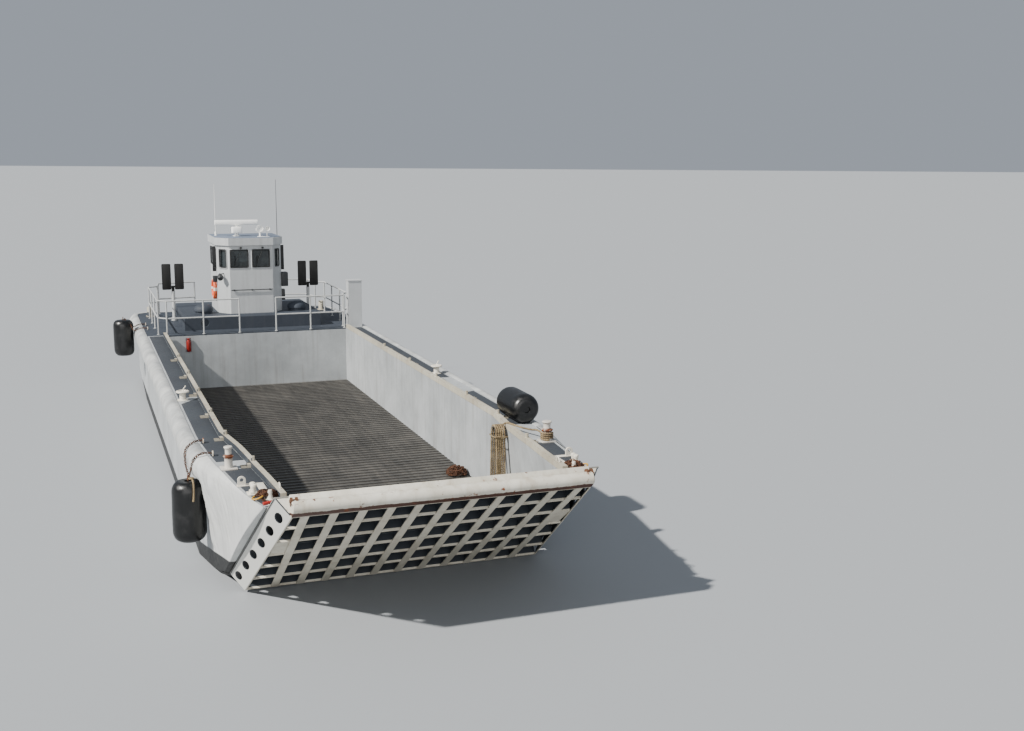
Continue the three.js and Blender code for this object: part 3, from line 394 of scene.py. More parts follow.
# Paint that has stood at sea: two tones in large patches, fine mottling, and dirt that runs down
tree, given, result, where = shader_group(
    "Sea weathering",
    [("Coat", "Color", (0.4, 0.4, 0.4, 1)), ("Shade", "Color", (0.3, 0.3, 0.3, 1)),
     ("Grime", "Color", (0.1, 0.1, 0.1, 1)), ("Patches", "Float", 0.7), ("Streaks", "Float", 0.4),
     ("Gloss", "Float", 0.5)],
    [("Color", "Color"), ("Roughness", "Float")])
sea_weathering = tree
patches = step_up(tree, speckle(tree, where, given["Patches"], 5.0), 0.35, 0.68)
mottle = step_up(tree, speckle(tree, where, 14.0, 6.0, 0.7), 0.3, 0.75)
down = put(tree, "ShaderNodeMapping", {"Vector": where, "Scale": (6.5, 6.5, 0.42)}).outputs[0]
runs = step_up(tree, speckle(tree, down, 1.0, 7.0, 0.62), 0.5, 0.78)
base = blended(tree, patches, given["Coat"], given["Shade"])
base = blended(tree, times(tree, mottle, 0.35), base, given["Shade"])
base = blended(tree, times(tree, runs, given["Streaks"]), base, given["Grime"])
tree.links.new(base, result["Color"])
tree.links.new(sums(tree, "ADD", times(tree, mottle, 0.16), given["Gloss"]), result["Roughness"])

# Rust: blooms where the paint has gone, with orange rims round dark hearts
tree, given, result, where = shader_group(
    "Rust bloom", [("Amount", "Float", 0.2), ("Scale", "Float", 2.0)],
    [("Mask", "Float"), ("Color", "Color")])
rust_bloom = tree
bloom = speckle(tree, where, given["Scale"], 9.0, 0.68)
edge_at = sums(tree, "SUBTRACT", 0.80, times(tree, given["Amount"], 0.32))
tree.links.new(step_up(tree, sums(tree, "SUBTRACT", bloom, edge_at), 0.0, 0.05), result["Mask"])
heart = step_up(tree, speckle(tree, where, 11.0, 5.0), 0.35, 0.65)
tree.links.new(blended(tree, heart, tone(132, 72, 34), tone(70, 40, 28)), result["Color"])

# Edges: the metal's corners are a little round, and there the paint is rubbed through
tree, given, result, where = shader_group(
    "Worn edges", [("Width", "Float", 0.006), ("Amount", "Float", 0.4)],
    [("Mask", "Float"), ("Normal", "Vector")])
worn_edges = tree
soft = put(tree, "ShaderNodeBevel", {"Radius": given["Width"]}, samples=4).outputs[0]
alike = dot(tree, soft, put(tree, "ShaderNodeNewGeometry").outputs["Normal"])
bare = step_up(tree, alike, 0.995, 0.93)
broken = step_up(tree, speckle(tree, where, 6.0, 6.0, 0.7), 0.42, 0.58)
tree.links.new(times(tree, times(tree, bare, broken), given["Amount"]), result["Mask"])
tree.links.new(soft, result["Normal"])

# Plate: welded plate dishes in between its frames and is knocked about by the sea and the quay
tree, given, result, where = shader_group(
    "Plate waves", [("Depth", "Float", 0.004), ("Pitch", "Float", 0.6)], [("Height", "Float")])
plate_waves = tree
phase = sums(tree, "DIVIDE", times(tree, axes(tree, where)["X"], pi), given["Pitch"])
dish = sums(tree, "ABSOLUTE", sums(tree, "SINE", phase))
knocks = speckle(tree, where, 1.5, 3.0, 0.5)
waviness = sums(tree, "ADD", times(tree, dish, -0.35), times(tree, knocks, 3.0))
tree.links.new(times(tree, waviness, given["Depth"]), result["Height"])

# The black reaches this height, and from the knuckle forward it climbs along the chine
BLACK_BELOW = 1.07
KNUCKLE_X, KNUCKLE_Z, KNUCKLE_RISE = 4.9, 0.84, 0.166


def painted_steel(name, coat, shade, *, grime=(96, 92, 84), patches=0.7, streaks=0.35, gloss=0.42, rust=0.15,
                  rust_scale=2.0, waves=0.0, wear=0.35, round_edge=0.006, under=(84, 80, 76), grain=0.0,
                  boot_top=False, extra_rust=None, added_colour_and_shade=None):
    """Painted steel plate or tube, with weathering, rust and worn edges in the amounts given."""
    finish, tree, shader, where = new_finish(name, Specular_IOR_Level=0.4)
    paint = placed(tree, sea_weathering, Coat=tone(*coat), Shade=tone(*shade), Grime=tone(*grime),
                   Patches=patches, Streaks=streaks, Gloss=gloss)
    edges = placed(tree, worn_edges, Width=round_edge, Amount=wear)
    rusted = placed(tree, rust_bloom, Amount=rust, Scale=rust_scale)
    color = blended(tree, edges["Mask"], paint["Color"], tone(*under))
    if boot_top:
        spot = axes(tree, where)
        ahead = times(tree, sums(tree, "SUBTRACT", spot["X"], KNUCKLE_X), KNUCKLE_RISE)
        paint_line = sums(tree, "MAXIMUM", sums(tree, "ADD", ahead, KNUCKLE_Z), BLACK_BELOW)
        over = sums(tree, "SUBTRACT", spot["Z"], paint_line)
        ragged = sums(tree, "ADD", over, times(tree, speckle(tree, where, 3.0), 0.02))
        color = blended(tree, step_up(tree, ragged, 0.02, 0.0), color, tone(8, 9, 9))
    # Added colour: the deck's colour on the rim's side, a rust seam on the beam, painted shade in the ramp's
    # bays
    if added_colour_and_shade is not None:
        color = added_colour_and_shade(tree, where, color)
    mask = rusted["Mask"]
    if extra_rust is not None:
        mask = sums(tree, "MAXIMUM", mask, extra_rust(tree, where))
    color = blended(tree, mask, color, rusted["Color"])
    roughness = sums(tree, "ADD", paint["Roughness"], times(tree, mask, 0.3))
    height = times(tree, mask, 0.0006)
    if waves:
        height = sums(tree, "ADD", height, placed(tree, plate_waves, Depth=waves)["Height"])
    if grain:
        height = sums(tree, "ADD", height, times(tree, speckle(tree, where, 160.0, 2.0), grain))
    wire(tree, shader, color, roughness, height, edges["Normal"])
    return finish


def dress(finish, *names):
    """Gives a finish to solids of the frame."""
    for name in names:
        nodes[name].data.materials.clear()
        nodes[name].data.materials.append(finish)


hull_grey = painted_steel("hull grey", (178, 182, 184), (150, 154, 156), waves=0.0035, rust=0.16, wear=0.5,
                          streaks=0.5, grime=(112, 108, 100), patches=0.9, boot_top=True)
dress(hull_grey, "wing_stbd", "wing_port", "after_hull", "well_bulkhead", "hull_bottom")

# Rubbing guards
# Half-round pressings of thick plate welded along the deck's edge and round the stern, to take the knocks
# of the quay. They are scraped and dented all along, and end where the bow flares begin.
GUARD_STEP, FLARE_START = 0.12, 7.2
# Columns: how far the section stands out from the deck's edge, height
GUARD_SECTION = [(0.0003, 2.45), (0.11, 2.43), (0.205, 2.50), (0.244, 2.62), (0.236, 2.74), (0.17, 2.84),
                 (0.08, 2.874), (0.0003, 2.862)]
# Columns: x, half width of the deck
DECK_EDGE = [(-10.7, 2.956), (6.1, 2.956), (7.2, 2.895), (7.955, 2.835), (8.5, 2.775), (9.2, 2.705),
             (9.75, 2.632), (10.2, 2.55), (10.485, 2.482)]
STERN_EDGE = [(-10.7, 2.956), (-11.0, 2.9), (-11.2, 2.7), (-11.2, -2.7), (-11.0, -2.9), (-10.7, -2.956)]


def lofted(rings):
    """A closed body through rings of points, capped at both ends."""
    ring = len(rings[0])
    corners = [corner for points in rings for corner in points]
    faces = []
    for k in range(len(rings) - 1):
        for j in range(ring):
            following = (j + 1) % ring
            faces.append([k * ring + j, (k + 1) * ring + j, (k + 1) * ring + following, k * ring + following])
    faces.append(list(range(ring)))
    faces.append(list(range((len(rings) - 1) * ring, len(rings) * ring))[::-1])
    return corners, faces


def guard(edge):
    """A dented half-round along a deck edge that runs with the craft on its left hand."""
    stations = []
    for (x0, y0), (x1, y1) in zip(edge, edge[1:]):
        count = max(1, round(Vector((x1 - x0, y1 - y0)).length / GUARD_STEP))
        stations += [(x0 + (x1 - x0) * k / count, y0 + (y1 - y0) * k / count) for k in range(count)]
    stations.append(edge[-1])
    section = [(point.x, point.y) for point in smooth_line([(*point, 0) for point in GUARD_SECTION], 0.03)]
    rings = []
    for k, (x, y) in enumerate(stations):
        x0, y0 = stations[max(k - 1, 0)]
        x1, y1 = stations[min(k + 1, len(stations) - 1)]
        along = Vector((x1 - x0, y1 - y0)).normalized()
        here = Vector((x1 - x, y1 - y)).normalized() if k + 1 < len(stations) else along
        outward = Vector((along.y, -along.x)) / max(0.8, along.dot(here))
        rings.append([])
        for out, z in section:
            dent = max(0.0, noise.noise(Vector((x * 1.9, y * 1.9, z * 3.0))) - 0.12) * 0.05
            ripple = noise.noise(Vector((x * 0.8, y * 0.8 + 9, 1.0))) * 0.004
            reach = max(0.0003, out - (dent + ripple) * min(1.0, out / 0.1))
            rings[-1].append((x + outward.x * reach, y + outward.y * reach, z))
    return lofted(rings)


guard_grey = painted_steel("guard grey", (198, 200, 198), (150, 153, 154), streaks=0.45, rust=0.27,
                           rust_scale=3.5, wear=0.2, waves=0.002, patches=2.2, grime=(140, 132, 118))
port_run = [(x, half) for x, half in DECK_EDGE if x <= FLARE_START]
guard_edges = {"stbd": [(x, -half) for x, half in port_run], "port": port_run[::-1], "stern": STERN_EDGE}
for name, edge in guard_edges.items():
    add_piece(f"rubbing_guard_{name}", guard(edge), guard_grey, replaces=[f"guard_{name}"], crease=50)

# Bow flares
# Forward of the guards one curved plate on each side falls from the deck's edge to the chine, and wraps
# round to the ramp's opening. It was pressed in one piece, and the quay has buckled it.
RAKE, RAMP_FOOT, OPENING_DEPTH = radians(35.4), Vector((8.215, 0, 0.833)), 0.33
# Columns: x, half width of the hull just over the chine
LOW_EDGE = [(6.1, 2.956), (7.2, 2.85), (7.955, 2.765), (8.5, 2.715), (9.2, 2.66), (9.75, 2.6), (10.2, 2.53),
            (10.6, 2.44)]
# Columns: x, height of the chine
CHINE = [(7.2, 0.93), (7.78, 1.04), (7.955, 1.117), (10.6, 1.125)]
FLARE_COLUMNS, FLARE_ROWS, FLARE_TOP, FLARE_FOOT = 90, 60, 2.862, 1.13
FLARE_WRAP, SKIN_PROUD = 3, 0.004
CREST_OUT, CREST_HIGH, DECK = 0.244, 2.62, 2.85
RAMP_HALF, RAMP_TAPER = 2.68, 0.0807
SIDES = (("stbd", -1), ("port", 1))


def read_off(table, x):
    """The second column of a table at x, straight between its rows."""
    for (x0, value0), (x1, value1) in zip(table, table[1:]):
        if x <= x1:
            return value0 + (value1 - value0) * max(0.0, (x - x0) / (x1 - x0))
    return table[-1][1]


def opening_x(z):
    """Where the ramp's opening cuts the side at a height."""
    up = (z - RAMP_FOOT.z - OPENING_DEPTH * cos(RAKE)) / sin(RAKE)
    return RAMP_FOOT.x + up * cos(RAKE) - OPENING_DEPTH * sin(RAKE)


def plate_edge(x, z):
    """Half width of the ramp's driving plate beside a point of the opening."""
    up = (x - RAMP_FOOT.x) * cos(RAKE) + (z - RAMP_FOOT.z) * sin(RAKE)
    return RAMP_HALF - RAMP_TAPER * up


def bulge(x, z, nearness):
    """How far the flare stands out: the guard's section aft, filled in below, and flush at the bow."""
    knuckle = max(BLACK_BELOW, KNUCKLE_Z + (x - KNUCKLE_X) * KNUCKLE_RISE)
    bare = 0.0
    for (out0, z0), (out1, z1) in zip(GUARD_SECTION[1:], GUARD_SECTION[2:]):
        if min(z0, z1) <= z <= max(z0, z1):
            bare = out0 + (out1 - out0) * (z - z0) / (z1 - z0)
    filled = bare
    if z < CREST_HIGH:
        filled = CREST_OUT * max(0.0, (z - knuckle) / (CREST_HIGH - knuckle)) ** 1.2
    grown = min(1.0, max(0.0, (x - FLARE_START) / 0.35))
    grown = grown * grown * (3 - 2 * grown)
    aft = (1 - nearness) ** 1.7
    fold = noise.noise(Vector((x * 5.5 + z * 1.1, z * 0.8, 4.0)))
    fold += 0.6 * noise.noise(Vector((x * 14 + z * 4, z * 1.8, 9.0)))
    fold *= 1.6 - nearness * 1.3
    held = min(1.0, max(0.0, (z - knuckle) / 0.2)) * min(1.0, max(0.0, (2.8 - z) / 0.25))
    held *= min(1.0, (1 - nearness) * 4)
    return max(SKIN_PROUD, (bare + (filled - bare) * grown) * aft + 0.05 * fold * grown * held)


def flare(side):
    """The flare's skin, row by row from the deck's edge down, with its turned front edge."""
    corners, faces = [], []
    for row in range(FLARE_ROWS + 1):
        drop = row / FLARE_ROWS
        line = []
        for column in range(FLARE_COLUMNS + 1):
            nearness = column / FLARE_COLUMNS
            z = FLARE_TOP + (FLARE_FOOT - FLARE_TOP) * drop
            x = FLARE_START + (opening_x(z) - FLARE_START) * nearness
            z = FLARE_TOP + (read_off(CHINE, x) + SKIN_PROUD - FLARE_TOP) * drop
            x = FLARE_START + (opening_x(max(z, 1.12)) - FLARE_START) * nearness
            flat = read_off(LOW_EDGE, x)
            half = flat + (read_off(DECK_EDGE, x) - flat) * max(0.0, (z - 1.1) / (DECK - 1.1))
            line.append((x, half + (bulge(x, z, nearness) if row else SKIN_PROUD), z))
        x, half, z = line[-1]
        edge = min(half, plate_edge(x, z) + 0.012)
        for k in range(1, FLARE_WRAP + 1):
            turn = pi / 2 * k / FLARE_WRAP
            forward = 0.012 * sin(turn)
            inward = (half - edge) * (1 - cos(turn))
            line.append((x + forward * sin(RAKE), half - inward, z - forward * cos(RAKE)))
        corners += [(x, side * y, z) for x, y, z in line]
    wide = FLARE_COLUMNS + 1 + FLARE_WRAP
    for row in range(FLARE_ROWS):
        for column in range(wide - 1):
            here = row * wide + column
            face = [here, here + wide, here + wide + 1, here + 1]
            faces.append(face if side < 0 else face[::-1])
    return corners, faces


flare_grey = painted_steel("flare grey", (200, 202, 200), (176, 178, 177), streaks=0.3, rust=0.1,
                           rust_scale=3.0, wear=0.0, waves=0.001, patches=1.2, boot_top=True)
for name, side in SIDES:
    add_piece(f"bow_flare_{name}", flare(side), flare_grey, crease=60)

# Side decks
# Plate walkways on top of the side tanks. Grey-blue non-skid coating is rolled on in long panels, and the
# bare light-grey paint shows between them and along the edges.
PANEL_THICK, PANEL_MARGIN, PANEL_COLUMNS, RIM_WIDE = 0.004, 0.05, 12, 0.09
DECK_COAT, COAT_SHADE = (56, 61, 67), (48, 52, 58)
# Columns: x, half width of the well
WELL_EDGE = [(-6.135, 2.456), (6.1, 2.456), (7.2, 2.318), (7.955, 2.262), (8.5, 2.23), (9.2, 2.172),
             (9.75, 2.135), (10.2, 2.11), (10.6, 2.086)]
# Columns: side, then x at the outer and inner edge of the after end, and of the fore end
PANELS = [(-1, -6.1, -6.1, 2.64, 2.35), (-1, 3.10, 2.62, 7.80, 7.80), (-1, 8.39, 8.27, 10.36, 10.36),
          (1, -6.1, -6.1, 2.08, 2.08), (1, 3.7, 3.9, 6.9, 6.9), (1, 8.39, 8.27, 10.36, 10.36)]


def moved(shape, matrix):
    """A shape turned and set in another place."""
    return [matrix @ Vector(corner) for corner in shape[0]], shape[1]


def plate(outline, low, high, soft=0.003):
    """A flat plate of any outline between two heights, with its edges softened."""
    form = bmesh.new()
    rings = [[form.verts.new((x, y, z)) for x, y in outline] for z in (low, high)]
    form.faces.new(rings[0][::-1])
    form.faces.new(rings[1])
    for k in range(len(outline)):
        after = (k + 1) % len(outline)
        form.faces.new([rings[0][k], rings[0][after], rings[1][after], rings[1][k]])
    bmesh.ops.recalc_face_normals(form, faces=form.faces)
    if soft:
        sharp = [edge for edge in form.edges if edge.calc_face_angle(0) > radians(30)]
        bmesh.ops.bevel(form, geom=sharp, offset=soft, segments=2, profile=0.6, affect="EDGES")
    form.verts.index_update()
    corners = [vert.co.copy() for vert in form.verts]
    faces = [[vert.index for vert in face.verts] for face in form.faces]
    form.free()
    return corners, faces


def slab(low, high, soft=0.003):
    """A plate or block between two corners."""
    outline = [(low[0], low[1]), (high[0], low[1]), (high[0], high[1]), (low[0], high[1])]
    return plate(outline, low[2], high[2], soft)


non_skid = painted_steel("non-skid grey", DECK_COAT, COAT_SHADE, grime=(80, 80, 78), patches=1.1, streaks=0.2,
                         gloss=0.62, rust=0.1, rust_scale=4.0, grain=0.0012, wear=0.1, under=(120, 122, 124))
panels = []
for side, aft_outer, aft_inner, fore_outer, fore_inner in PANELS:
    shares = [k / PANEL_COLUMNS for k in range(PANEL_COLUMNS + 1)]
    outer = [aft_outer + (fore_outer - aft_outer) * share for share in shares]
    inner = [aft_inner + (fore_inner - aft_inner) * share for share in reversed(shares)]
    outline = [(x, side * (read_off(DECK_EDGE, x) - PANEL_MARGIN)) for x in outer]
    outline += [(x, side * (read_off(WELL_EDGE, x) + RIM_WIDE + 0.006)) for x in inner]
    panels.append(plate(outline, DECK + 0.0003, DECK + PANEL_THICK, soft=0.001))
add_piece("side_deck_panels", joined(*panels), non_skid)
rim_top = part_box("coaming_stbd")[1][2]


def facing_out(tree, where):
    """How squarely a surface faces away from the centre line."""
    facing = axes(tree, put(tree, "ShaderNodeTexCoord").outputs["Normal"])["Y"]
    return times(tree, facing, sums(tree, "SIGN", axes(tree, where)["Y"]))


def deck_coloured_rim_side(tree, where, color):
    """The outer side of the rim coloured like the deck's coating, to just under its top."""
    low = step_up(tree, axes(tree, where)["Z"], rim_top - 0.02, rim_top - 0.028)
    deck_coloured = times(tree, step_up(tree, facing_out(tree, where), 0.2, 0.4), low)
    return blended(tree, deck_coloured, color, tone(*DECK_COAT))


rim_grey = painted_steel("rim grey", (190, 186, 170), (158, 152, 136), rust=0.42, rust_scale=2.6, streaks=0.5,
                         grime=(128, 104, 74), wear=0.9, round_edge=0.01, under=(112, 84, 58),
                         added_colour_and_shade=deck_coloured_rim_side)
dress(rim_grey, "coaming_stbd", "coaming_port")

# Well
# A load floor of heavy plate with flat bars welded across it for grip, closed aft by a bulkhead with a
# recess for the extinguisher. Tracks and tyres have worn its paint to brown-grey steel.


def worn_plate(name, low, high, bar_top):
    """Walked and driven-on steel, scraped and rusted, with painted shade darkening the bars' tops."""
    finish, tree, shader, where = new_finish(name, Metallic=0.35, Specular_IOR_Level=0.4)
    cloud = step_up(tree, speckle(tree, where, 1.3, 6.0, 0.65), 0.35, 0.7)
    along = put(tree, "ShaderNodeMapping", {"Vector": where, "Scale": (0.5, 9.0, 9.0)}).outputs[0]
    scraped = step_up(tree, speckle(tree, along, 1.0, 8.0, 0.7), 0.45, 0.75)
    color = blended(tree, cloud, tone(*low), tone(*high))
    raised = step_up(tree, axes(tree, where)["Z"], bar_top - 0.012, bar_top - 0.004)
    color = blended(tree, times(tree, scraped, 0.35), color, tone(142, 136, 128))
    # Painted shade: the bars' tops are darkened to damp the sun on them against the shaded gaps
    color = blended(tree, times(tree, raised, 0.75), color, tone(64, 62, 60))
    rusted = placed(tree, rust_bloom, Amount=0.3, Scale=1.7)
    color = blended(tree, times(tree, rusted["Mask"], 0.6), color, rusted["Color"])
    edges = placed(tree, worn_edges, Width=0.005, Amount=0.0)
    wire(tree, shader, color, step_up(tree, cloud, -1.4, 2.2), times(tree, scraped, 0.0006), edges["Normal"])
    return finish


BAR_TOP = 1.375
dress(worn_plate("worn floor", (72, 71, 69), (98, 96, 92), BAR_TOP), "well_floor")


def turned(profile, sides=32):
    """A profile of radius and height turned about the upright axis, from the axis and back to it."""
    corners, faces, rings = [], [], []
    for radius, height in profile:
        count = sides if radius > 1e-6 else 1
        rings.append((len(corners), count))
        corners += [Vector((radius * cos(2 * pi * k / sides), radius * sin(2 * pi * k / sides), height))
                    for k in range(count)]
    for (low, low_count), (high, high_count) in zip(rings, rings[1:]):
        for k in range(sides):
            after = (k + 1) % sides
            face = [low + k % low_count, low + after % low_count,
                    high + after % high_count, high + k % high_count]
            face = [corner for j, corner in enumerate(face) if corner not in face[:j]]
            if len(face) > 2:
                faces.append(face)
    return corners, faces


def at(x, y, z):
    """A shift to a place."""
    return Matrix.Translation((x, y, z))


red_paint = painted_steel("red paint", (150, 34, 26), (122, 28, 24), rust=0.1, streaks=0.2, gloss=0.3,
                          wear=0.3)
extinguisher = turned([(0, 0), (0.052, 0), (0.06, 0.012), (0.06, 0.27), (0.05, 0.30), (0.022, 0.318),
                       (0.022, 0.335), (0.03, 0.338), (0.03, 0.356), (0, 0.36)], 24)
trigger = slab((-0.012, -0.05, 0.35), (0.012, 0.05, 0.364))
add_piece("extinguisher", moved(joined(extinguisher, trigger), at(-6.105, -1.89, 2.395)), red_paint)


def link(middle, ahead, across, long, wide, thick):
    """One welded chain link: a round bar bent to a long ring."""
    ahead = ahead.normalized()
    across = (across - ahead * across.dot(ahead)).normalized()
    straight, bend = long / 2 - wide / 2, wide / 2 - thick / 2
    line = []
    for end, first in ((1, -pi / 2), (-1, pi / 2)):
        for k in range(5):
            turn = first + pi * k / 4
            line.append(middle + ahead * (end * straight + bend * cos(turn)) + across * bend * sin(turn))
    return bar(line, thick / 2, 6, closed=True)


def chain(line, thick=0.013, seed=1):
    """Links along a line, each turned a quarter from the last."""
    long, wide = thick * 5.2, thick * 3.4
    points = smooth_line(line, long - 2 * thick)
    wobble = random.Random(seed)
    shapes = []
    for k, (before, after) in enumerate(zip(points, points[1:])):
        ahead = after - before
        across = ahead.orthogonal()
        across.rotate(Matrix.Rotation(pi / 2 * (k % 2) + wobble.uniform(-0.3, 0.3), 3, ahead))
        shapes.append(link((before + after) / 2, ahead, across, long, wide, thick))
    return joined(*shapes)


def heap(x, y, z, reach, turns, seed, rise=0.1):
    """The line of a chain dropped in a heap."""
    wobble = random.Random(seed)
    line = []
    for k in range(turns * 7):
        turn = 2 * pi * k / 7 + wobble.uniform(-0.5, 0.5)
        far = reach * wobble.uniform(0.25, 1.0)
        high = rise * (1 - far / reach * 0.75) * wobble.uniform(0.4, 1.0) * min(1, k / 14 + 0.2)
        line.append((x + far * cos(turn), y + far * sin(turn), z + 0.016 + high))
    return line


def rusty(name, pale=(98, 64, 44), dark=(46, 33, 27)):
    """Iron gone brown all over."""
    finish, tree, shader, where = new_finish(name, Specular_IOR_Level=0.3)
    cloud = step_up(tree, speckle(tree, where, 16.0, 6.0, 0.7), 0.35, 0.7)
    fine = speckle(tree, where, 90.0, 3.0)
    color = blended(tree, cloud, tone(*dark), tone(*pale))
    wire(tree, shader, color, step_up(tree, fine, -2.0, 0.8), fine, distance=0.002)
    return finish


# A heap of chain at the foot of the port side, and the peg on its rim that the mooring rope hangs from
rusty_chain = rusty("rusty chain")
dropped = heap(4.7, 2.22, BAR_TOP, 0.22, 9, 5, rise=0.24)
add_piece("well_chain", chain(dropped, 0.016), rusty_chain)
bare_steel = painted_steel("bare steel", (112, 108, 102), (92, 86, 80), rust=0.5, streaks=0.2, wear=0.2)
peg = bar([(LOOPS["x"], 2.319, 2.893), (LOOPS["x"], 2.06, 2.9)], 0.014, 14)
add_piece("rope_peg", peg, bare_steel)

# Ramp
# An all-welded bow ramp: a driving plate with grip cleats inside, a deep grid of flanged uprights and cross
# bars outside between holed side plates, and a pipe along its top edge. It turns on a shaft at the sill.
RAMP_UP = Vector((cos(RAKE), 0, sin(RAKE)))
RAMP_OUT = Vector((sin(RAKE), 0, -cos(RAKE)))
on_ramp = Matrix.Translation(RAMP_FOOT) @ Matrix.Rotation(-RAKE, 4, "Y")


def along_ramp(tree, where, direction):
    """How far a point of the surface lies from the ramp's foot in one direction."""
    return sums(tree, "SUBTRACT", dot(tree, where, tuple(direction)), RAMP_FOOT.dot(direction))


# The grid's bays and the driving plate's outer face get this dark painted shade, as the ramp's outside lies
# out of the sun; the flanges' faces stay pale to PALE_DEPTH deep
BAY_PAINTED_SHADE, PALE_DEPTH = (52, 57, 63), 0.036
finish, tree, shader, where = new_finish("ramp plate paint", Specular_IOR_Level=0.4)
outer_face = dot(tree, put(tree, "ShaderNodeTexCoord").outputs["Normal"], tuple(RAMP_OUT))
inside = placed(tree, sea_weathering, Coat=tone(148, 148, 142), Shade=tone(112, 110, 104),
                Grime=tone(84, 76, 66), Patches=1.1, Streaks=0.5, Gloss=0.45)
# Painted shade: the plate's outer face, seen through the grid, takes the bays' dark colour
color = blended(tree, step_up(tree, outer_face, 0.2, 0.5), inside["Color"], tone(*BAY_PAINTED_SHADE))
rusted = placed(tree, rust_bloom, Amount=0.3, Scale=2.4)
wire(tree, shader, blended(tree, rusted["Mask"], color, rusted["Color"]), inside["Roughness"],
     placed(tree, plate_waves, Depth=0.002)["Height"])
dress(finish, "ramp_plate")


def web_painted_shade(tree, where, color):
    """Painted shade in the bays, out of the sun; the flanges' faces and the side plates' outer sides keep
    their pale coat.
    """
    depth = times(tree, along_ramp(tree, where, RAMP_OUT), -1.0)
    aside = sums(tree, "ABSOLUTE", axes(tree, where)["Y"])
    turned_out = step_up(tree, facing_out(tree, where), 0.3, 0.5)
    outer_side = times(tree, turned_out, step_up(tree, aside, 2.15, 2.17))
    deep = step_up(tree, depth, PALE_DEPTH, PALE_DEPTH + 0.003)
    deep = times(tree, deep, sums(tree, "SUBTRACT", 1.0, outer_side))
    cleaner = blended(tree, outer_side, color, tone(206, 206, 200))
    return blended(tree, deep, cleaner, tone(*BAY_PAINTED_SHADE))


# The frame's paint, with painted shade in the grid's bays
dress(painted_steel("ramp frame paint", (214, 209, 194), (190, 184, 168), grime=(140, 124, 100), rust=0.22,
                    rust_scale=3.0, streaks=0.4, wear=0.5, patches=1.5, round_edge=0.008,
                    under=(120, 104, 84), added_colour_and_shade=web_painted_shade), "ramp_frame")

BEAM = {"x": 3.585, "z": 0.098, "radius": 0.1, "half": 2.2, "steps": 88, "cap": 0.012}
# The direction from the pipe's middle to its lip, along the ramp and out of it
LIP_ALONG, LIP_OUT = -0.407, 0.914


def beam_seam(tree, where, color):
    """Dark rust along the lip under the pipe, on its outer side."""
    back = times(tree, sums(tree, "SUBTRACT", along_ramp(tree, where, RAMP_UP), BEAM["x"]), LIP_ALONG)
    out = times(tree, sums(tree, "ADD", along_ramp(tree, where, RAMP_OUT), BEAM["z"]), LIP_OUT)
    ragged = times(tree, speckle(tree, where, 7.0, 6.0, 0.7), 0.05)
    lip = sums(tree, "ADD", sums(tree, "ADD", back, out), ragged)
    return blended(tree, step_up(tree, lip, 0.096, 0.103), color, tone(70, 40, 27))


beam_white = painted_steel("beam white", (214, 211, 200), (184, 179, 164), grime=(146, 130, 106), rust=0.62,
                           rust_scale=6.0, streaks=0.6, wear=0.3, waves=0.004, patches=1.6,
                           added_colour_and_shade=beam_seam)
beam_line, beam_sizes = [], [0.9]
for k in range(BEAM["steps"] + 1):
    y = -BEAM["half"] + 2 * BEAM["half"] * k / BEAM["steps"]
    sag = 0.004 * noise.noise(Vector((y * 0.9, 3.1, 0)))
    beam_line.append((BEAM["x"] + sag, y * (1 - BEAM["cap"] / BEAM["half"]), BEAM["z"] + sag))
    beam_sizes.append(1 - 0.035 * max(0, noise.noise(Vector((y * 2.3, 0.4, 8.8)))))
beam_sizes.append(0.9)
beam_ends = [(BEAM["x"], y, BEAM["z"]) for y in (-BEAM["half"], BEAM["half"])]
beam = bar([beam_ends[0], *beam_line, beam_ends[1]], BEAM["radius"], 40, sizes=beam_sizes)
backing = slab((3.4703, -BEAM["half"], 0.0), (3.56, BEAM["half"], 0.298), 0.006)


def eye_plate(long, high, hole, thick, rise):
    """A lug: a plate across the line of sight, round on top, with a hole for a shackle."""
    corners, faces, count = [], [], 28
    for depth in (-thick / 2, thick / 2):
        for k in range(count):
            turn = 2 * pi * k / count
            corners.append(Vector((hole * cos(turn), depth, rise + hole * sin(turn))))
        for k in range(count):
            turn = 2 * pi * k / count
            if sin(turn) >= 0:
                corners.append(Vector((long / 2 * cos(turn), depth, rise + (high - rise) * sin(turn))))
            else:
                reach = max(abs(cos(turn)), abs(sin(turn)))
                corners.append(Vector((long / 2 * cos(turn) / reach, depth, rise + rise * sin(turn) / reach)))
    for k in range(count):
        j = (k + 1) % count
        near, near_out, far, far_out = 0, count, 2 * count, 3 * count
        faces.append([near + k, near_out + k, near_out + j, near + j])
        faces.append([far + k, far + j, far_out + j, far_out + k])
        faces.append([near_out + k, far_out + k, far_out + j, near_out + j])
        faces.append([near + k, near + j, far + j, far + k])
    return corners, faces


LUG_Y = 2.16
ramp_lugs = [moved(eye_plate(0.12, 0.11, 0.026, 0.03, 0.06), at(3.60, y + gap, 0.13))
             for y in (-LUG_Y, LUG_Y) for gap in (-0.035, 0.035)]
ramp_lugs += [bar([(3.60, y - 0.06, 0.19), (3.60, y + 0.06, 0.19)], 0.024, 16) for y in (-LUG_Y, LUG_Y)]
stood_up = Matrix(((0, 0, 1, 0), (1, 0, 0, 0), (0, 1, 0, 0), (0, 0, 0, 1)))
corner_plates = []
for side in (-1, 1):
    triangle = [(side * 2.195, 0.004), (side * 2.385, 0.288), (side * 2.195, 0.288)]
    corner_plates.append(moved(plate(triangle, 3.44, 3.466), stood_up))
add_piece("ramp_pipe_beam", moved(joined(beam, backing, *corner_plates), on_ramp), beam_white, body="ramp",
          replaces=["ramp_beam"])
rusty_steel = rusty("rusty steel", (112, 76, 52), (58, 42, 34))
add_piece("ramp_shackle_lugs", moved(joined(*ramp_lugs), on_ramp), rusty_steel, body="ramp")
dress(bare_steel, "hinge_shaft")

